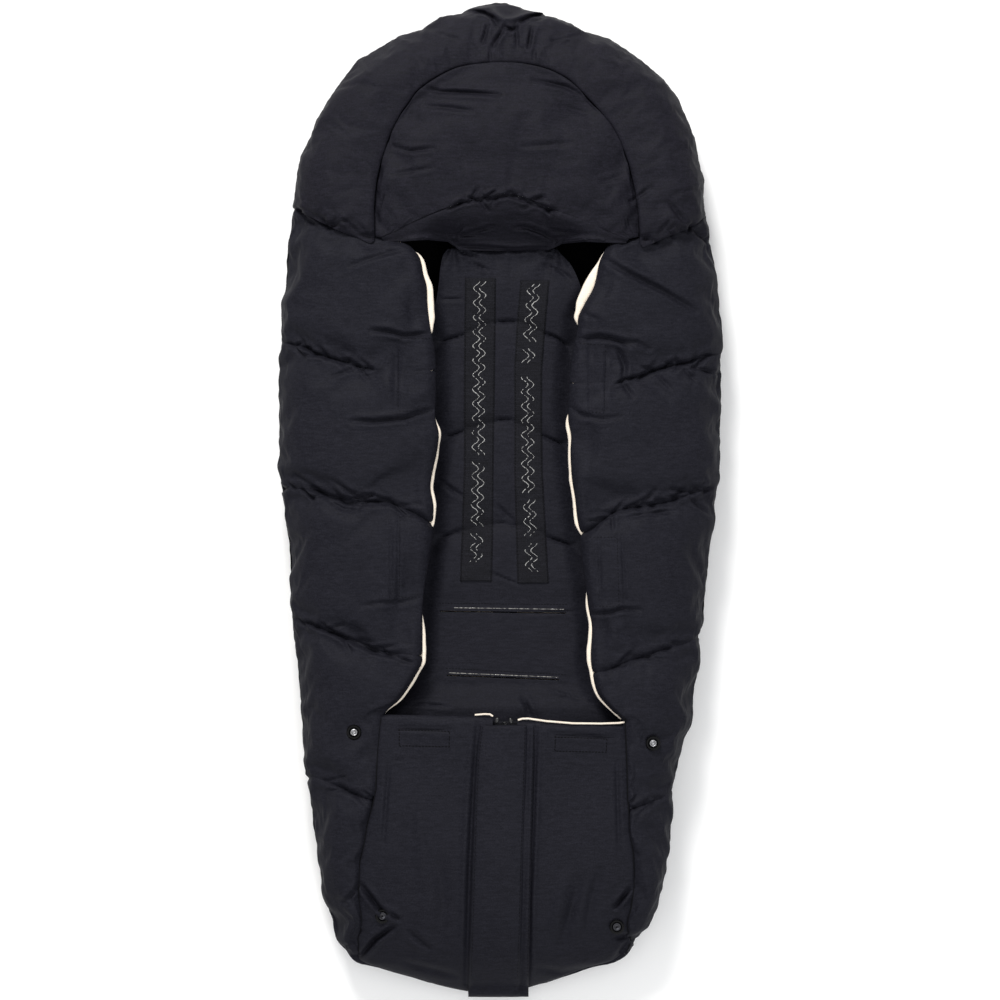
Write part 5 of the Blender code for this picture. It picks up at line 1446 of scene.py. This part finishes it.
def zip_coil(name, path, aim, out, first):
    """The coil's turns along a path, which lean one way and the other."""
    long = np.concatenate([[0], np.cumsum(np.linalg.norm(np.diff(path, axis=0), axis=1))])
    spots = np.arange(first, long[-1] - 0.4, COIL_PITCH)
    y, z = (np.interp(spots, long, c) for c in (path - out * 0.5).T)
    lean = np.where(np.arange(len(spots)) % 2 > 0, 1.0, -1.0)
    ahead = np.stack([np.interp(spots, long, c) for c in aim.T], -1)
    places = np.stack([ZIP_X + 0.55 * lean, y, z], -1)
    aims = [(1, a * 0.18 * s, b * 0.18 * s) for (a, b), s in zip(ahead, lean)]
    repeated(name, places, aims, [1.0] * len(spots), COIL_TURN, nylon_coil)


for part, turn, first in (("front", 1, 4.0), ("back", -1, 1.5)):
    path = np.array(zip_path(part))
    aim = directions(path)
    out = np.stack([aim[:, 1], -aim[:, 0]], -1) * turn
    for side, low, high in TAPES:
        zip_tape(f"{side}_{part}_zip_tape_cloth", path, out, low, high)
    zip_coil(f"{part}_zip_coil", path, aim, out, first)


# Stage, light and camera
FOCAL, SENSOR = 200, 36
# Lamps: name, place and size in metres, power and colour
LAMPS = (
    ("key", (-0.7, 2.7, 2.4), 1.0, 125, (1, 0.99, 0.97)),
    ("fill", (0.9, -2.0, 2.6), 2.0, 34, (0.96, 0.98, 1)),
    ("top", (0, 0, 3.6), 3.0, 30, (1, 1, 1)),
)


def floor():
    """White paper sweep under the object, faintly uneven in its gloss."""
    paper, tree, shader, place = surface("white_paper_floor", "ffffff", 0.9)
    fine = noise(tree, place, 40.0, 2.0)
    rough = add(tree, "ShaderNodeMapRange", {"Value": fine, "To Min": 0.85, "To Max": 0.95})
    tree.links.new(rough["Result"], shader.inputs["Roughness"])
    bpy.ops.mesh.primitive_plane_add(size=30, location=(0, 0, -0.0005))
    plane = bpy.context.object
    plane.name = "floor"
    plane.data.materials.append(paper)


def lights():
    """Three large soft lamps in a pale room that the camera sees as white."""
    for name, place, size, power, colour in LAMPS:
        lamp = bpy.data.lights.new(name, "AREA")
        lamp.size, lamp.energy, lamp.color = size, power, colour
        obj = bpy.data.objects.new(name, lamp)
        obj.location = place
        obj.rotation_euler = (-Vector(place)).to_track_quat("-Z", "Y").to_euler()
        bpy.context.scene.collection.objects.link(obj)
    world = bpy.data.worlds.new("studio")
    bpy.context.scene.world = world
    world.use_nodes = True
    tree = world.node_tree
    background = tree.nodes["Background"]
    background.inputs["Color"].default_value = (1, 1, 1, 1)
    rays = add(tree, "ShaderNodeLightPath")
    strength = add(tree, "ShaderNodeMapRange", {"Value": rays["Is Camera Ray"], "To Min": 0.5, "To Max": 1.0})
    tree.links.new(strength["Result"], background.inputs["Strength"])


def camera():
    """A long lens straight above, as far off as shows one metre of the object across the picture."""
    lens = bpy.data.cameras.new("camera")
    lens.lens, lens.sensor_width = FOCAL, SENSOR
    lens.clip_end = 100
    viewer = bpy.data.objects.new("camera", lens)
    viewer.location = (0, -0.0015, 0.052 + FOCAL / SENSOR)
    bpy.context.scene.collection.objects.link(viewer)
    bpy.context.scene.camera = viewer
    bpy.context.scene.view_settings.view_transform = "Standard"


floor()
lights()
camera()


# Bodies: what rides on one, and what is given two, from one place to the other, where a bend between them would
# run; no bend is made, and such a piece stays where it lies
def at(y, x=0.0):
    """A place in metres for a blend's plane."""
    return x * 0.001, y * 0.001, 0.1


WING_TOP = "root", "wing", at(TOP_BLEND[0]), at(TOP_BLEND[1])
WING_LOW = "wing", "root", at(LOW_BLEND[0]), at(LOW_BLEND[1])
FOOT = "root", "foot_end", at(FOLD + 18), at(FOLD - 18)
# Pieces of each side, with the body that moves them, or the two bodies of a bend that is not made
MOVED = {
    "wing_upper_cell": WING_TOP, "wing_middle_cell": "wing", "wing_lower_cell": WING_LOW,
    "wing_upper_lining": WING_TOP, "wing_middle_lining": "wing", "wing_lower_lining": WING_LOW,
    "upper_box_stitches": "wing", "lower_box_stitches": WING_LOW,
    "upper_hook_tape_pile": "wing", "lower_hook_tape_pile": WING_LOW,
    "side_cell": "root", "yoke_hem": "root", "front_lining_jersey": "root", "mouth_facing_cloth": "root",
    "grip_strip_elastic": "root", "strip_stitches": "root", "silicone_zigzag": "root",
    "foot_lining_edge": "root",
    "foot_side_cell": FOOT, "foot_panel_cloth": FOOT, "front_cover_cloth": FOOT, "foot_seam_cord": FOOT,
    "front_zip_tape_cloth": FOOT, "back_zip_tape_cloth": FOOT,
}
# Solids that each side's pieces stand for, with the side's name in place of a star
STANDS_FOR = {
    "wing_middle_cell": ("*_wing",), "wing_middle_lining": ("*_wing_lining",),
    "upper_hook_tape_pile": ("*_upper_hook_tape",), "lower_hook_tape_pile": ("*_lower_hook_tape",),
    "side_cell": ("*_side_panel", "*_panel_lining"), "front_lining_jersey": ("front_lining_*",),
    "grip_strip_elastic": ("*_grip_strip",), "foot_side_cell": ("*_foot_side_panel",),
    "foot_panel_cloth": ("*_foot_panel", "*_foot_end_panel", "*_foot_tab"),
    "front_cover_cloth": ("front_cover_*", "foot_cover_*"),
    "front_zip_tape_cloth": ("front_*_zip_tape", "foot_*_zip_tape"),
    "back_zip_tape_cloth": ("back_*_zip_tape",),
}


def move(piece, way, wing="wing"):
    """Rides a piece on one body; a piece given two bodies stays where it lies, with no blend between them."""
    if isinstance(way, str):
        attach(piece, wing if way == "wing" else way)
    else:
        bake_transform(piece)


for side, hand in HANDS.items():
    for name, way in MOVED.items():
        move(made[f"{side}_{name}"], way, f"{side}_wing")
    for name, nodes in STANDS_FOR.items():
        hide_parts(*(node.replace("*", side) for node in nodes))
    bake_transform(made[f"{side}_wing_gusset"])
    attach(made[f"upper_{side}_snap_cup"], "root")
    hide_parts(f"upper_{side}_snap_socket")
for piece, way, *nodes in (
    (hood, "root", "hood_rim", "hood_patch"), (arch, "root", "hood_arch_panel"),
    (yoke, "root", "gathered_yoke"), (back, "root", "back_panel"),
    (back_lining, "root", "back_lining"), (placket, FOOT, "back_placket", "foot_placket"),
    (made["slot_edge_silicone"], "root", "upper_slot_binding", "lower_slot_binding"),
):
    move(piece, way)
    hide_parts(*nodes)
for name in ("foot_box_stitches", "placket_stitches", "front_zip_coil", "back_zip_coil"):
    move(made[name], FOOT)
for name in ("foot_zip_end_stops", "slot_stitches"):
    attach(made[name], "root")

# Materials of the CAD pieces that stay in view, by a word of their names
LOOKS = {"ring": painted_ring, "stud": gunmetal, "slider": painted_zinc, "puller": painted_zinc}
for name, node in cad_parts.items():
    for key, look in LOOKS.items():
        if key in name and not node.hide_render:
            node.data.materials.clear()
            node.data.materials.append(look)


def cloth(name, wide, long, area, held, *under, pieces=()):
    """Takes a sheet's name, the size of its flat cut in millimetres and its area in square metres, and declares
    nothing: none of these is used.
    """


cloth("gathered_hood_yoke", 320, 46, 0.0138, "gathered", "padded_arch_panel", "quilted_back_panel")
cloth("back_lining_jersey", 296, 512, 0.141, "laid", "quilted_back_panel")
cloth("foot_placket_cloth", 70, 560, 0.0330, "folded", "left_foot_panel_cloth", "right_foot_panel_cloth")
# Areas of the linings, which are no rectangles: of the wing's three parts and of the front
LINING_AREAS = {"left": (0.0133, 0.0228, 0.0237, 0.0867), "right": (0.0123, 0.0218, 0.0214, 0.0802)}
LINING_SIZES = ((146, 104), (146, 167), (140, 212))
for side in HANDS:
    wing, cover, areas = f"{side}_wing", f"{side}_front_cover_cloth", LINING_AREAS[side]
    for level, (wide, long), area in zip(LINING_PARTS, LINING_SIZES, areas):
        cloth(f"{wing}_{level}_lining", wide, long, area, "laid", f"{wing}_{level}_cell")
    cloth(f"{side}_front_lining_jersey", 196, 492, areas[3], "laid", cover)
    cloth(f"{side}_mouth_facing_cloth", 146, 136, None, "laid", cover)
    cloth(f"{wing}_gusset", 36, 415, 0.0121, "folded", cover, f"{wing}_middle_cell")
    cloth(f"{side}_grip_strip_elastic", 33, 305, None, "laid", "quilted_back_panel",
          pieces=(f"{side}_strip_stitches", f"{side}_silicone_zigzag"))
    cloth(f"{side}_upper_hook_tape_pile", 28.2, 78, None, "laid", f"{wing}_middle_lining")
    cloth(f"{side}_lower_hook_tape_pile", 30.9, 78, None, "laid", f"{wing}_lower_lining")
    cloth(f"{side}_front_zip_tape_cloth", 12, 660, None, "folded", cover)
    cloth(f"{side}_back_zip_tape_cloth", 12, 290, None, "folded", f"{side}_foot_panel_cloth")
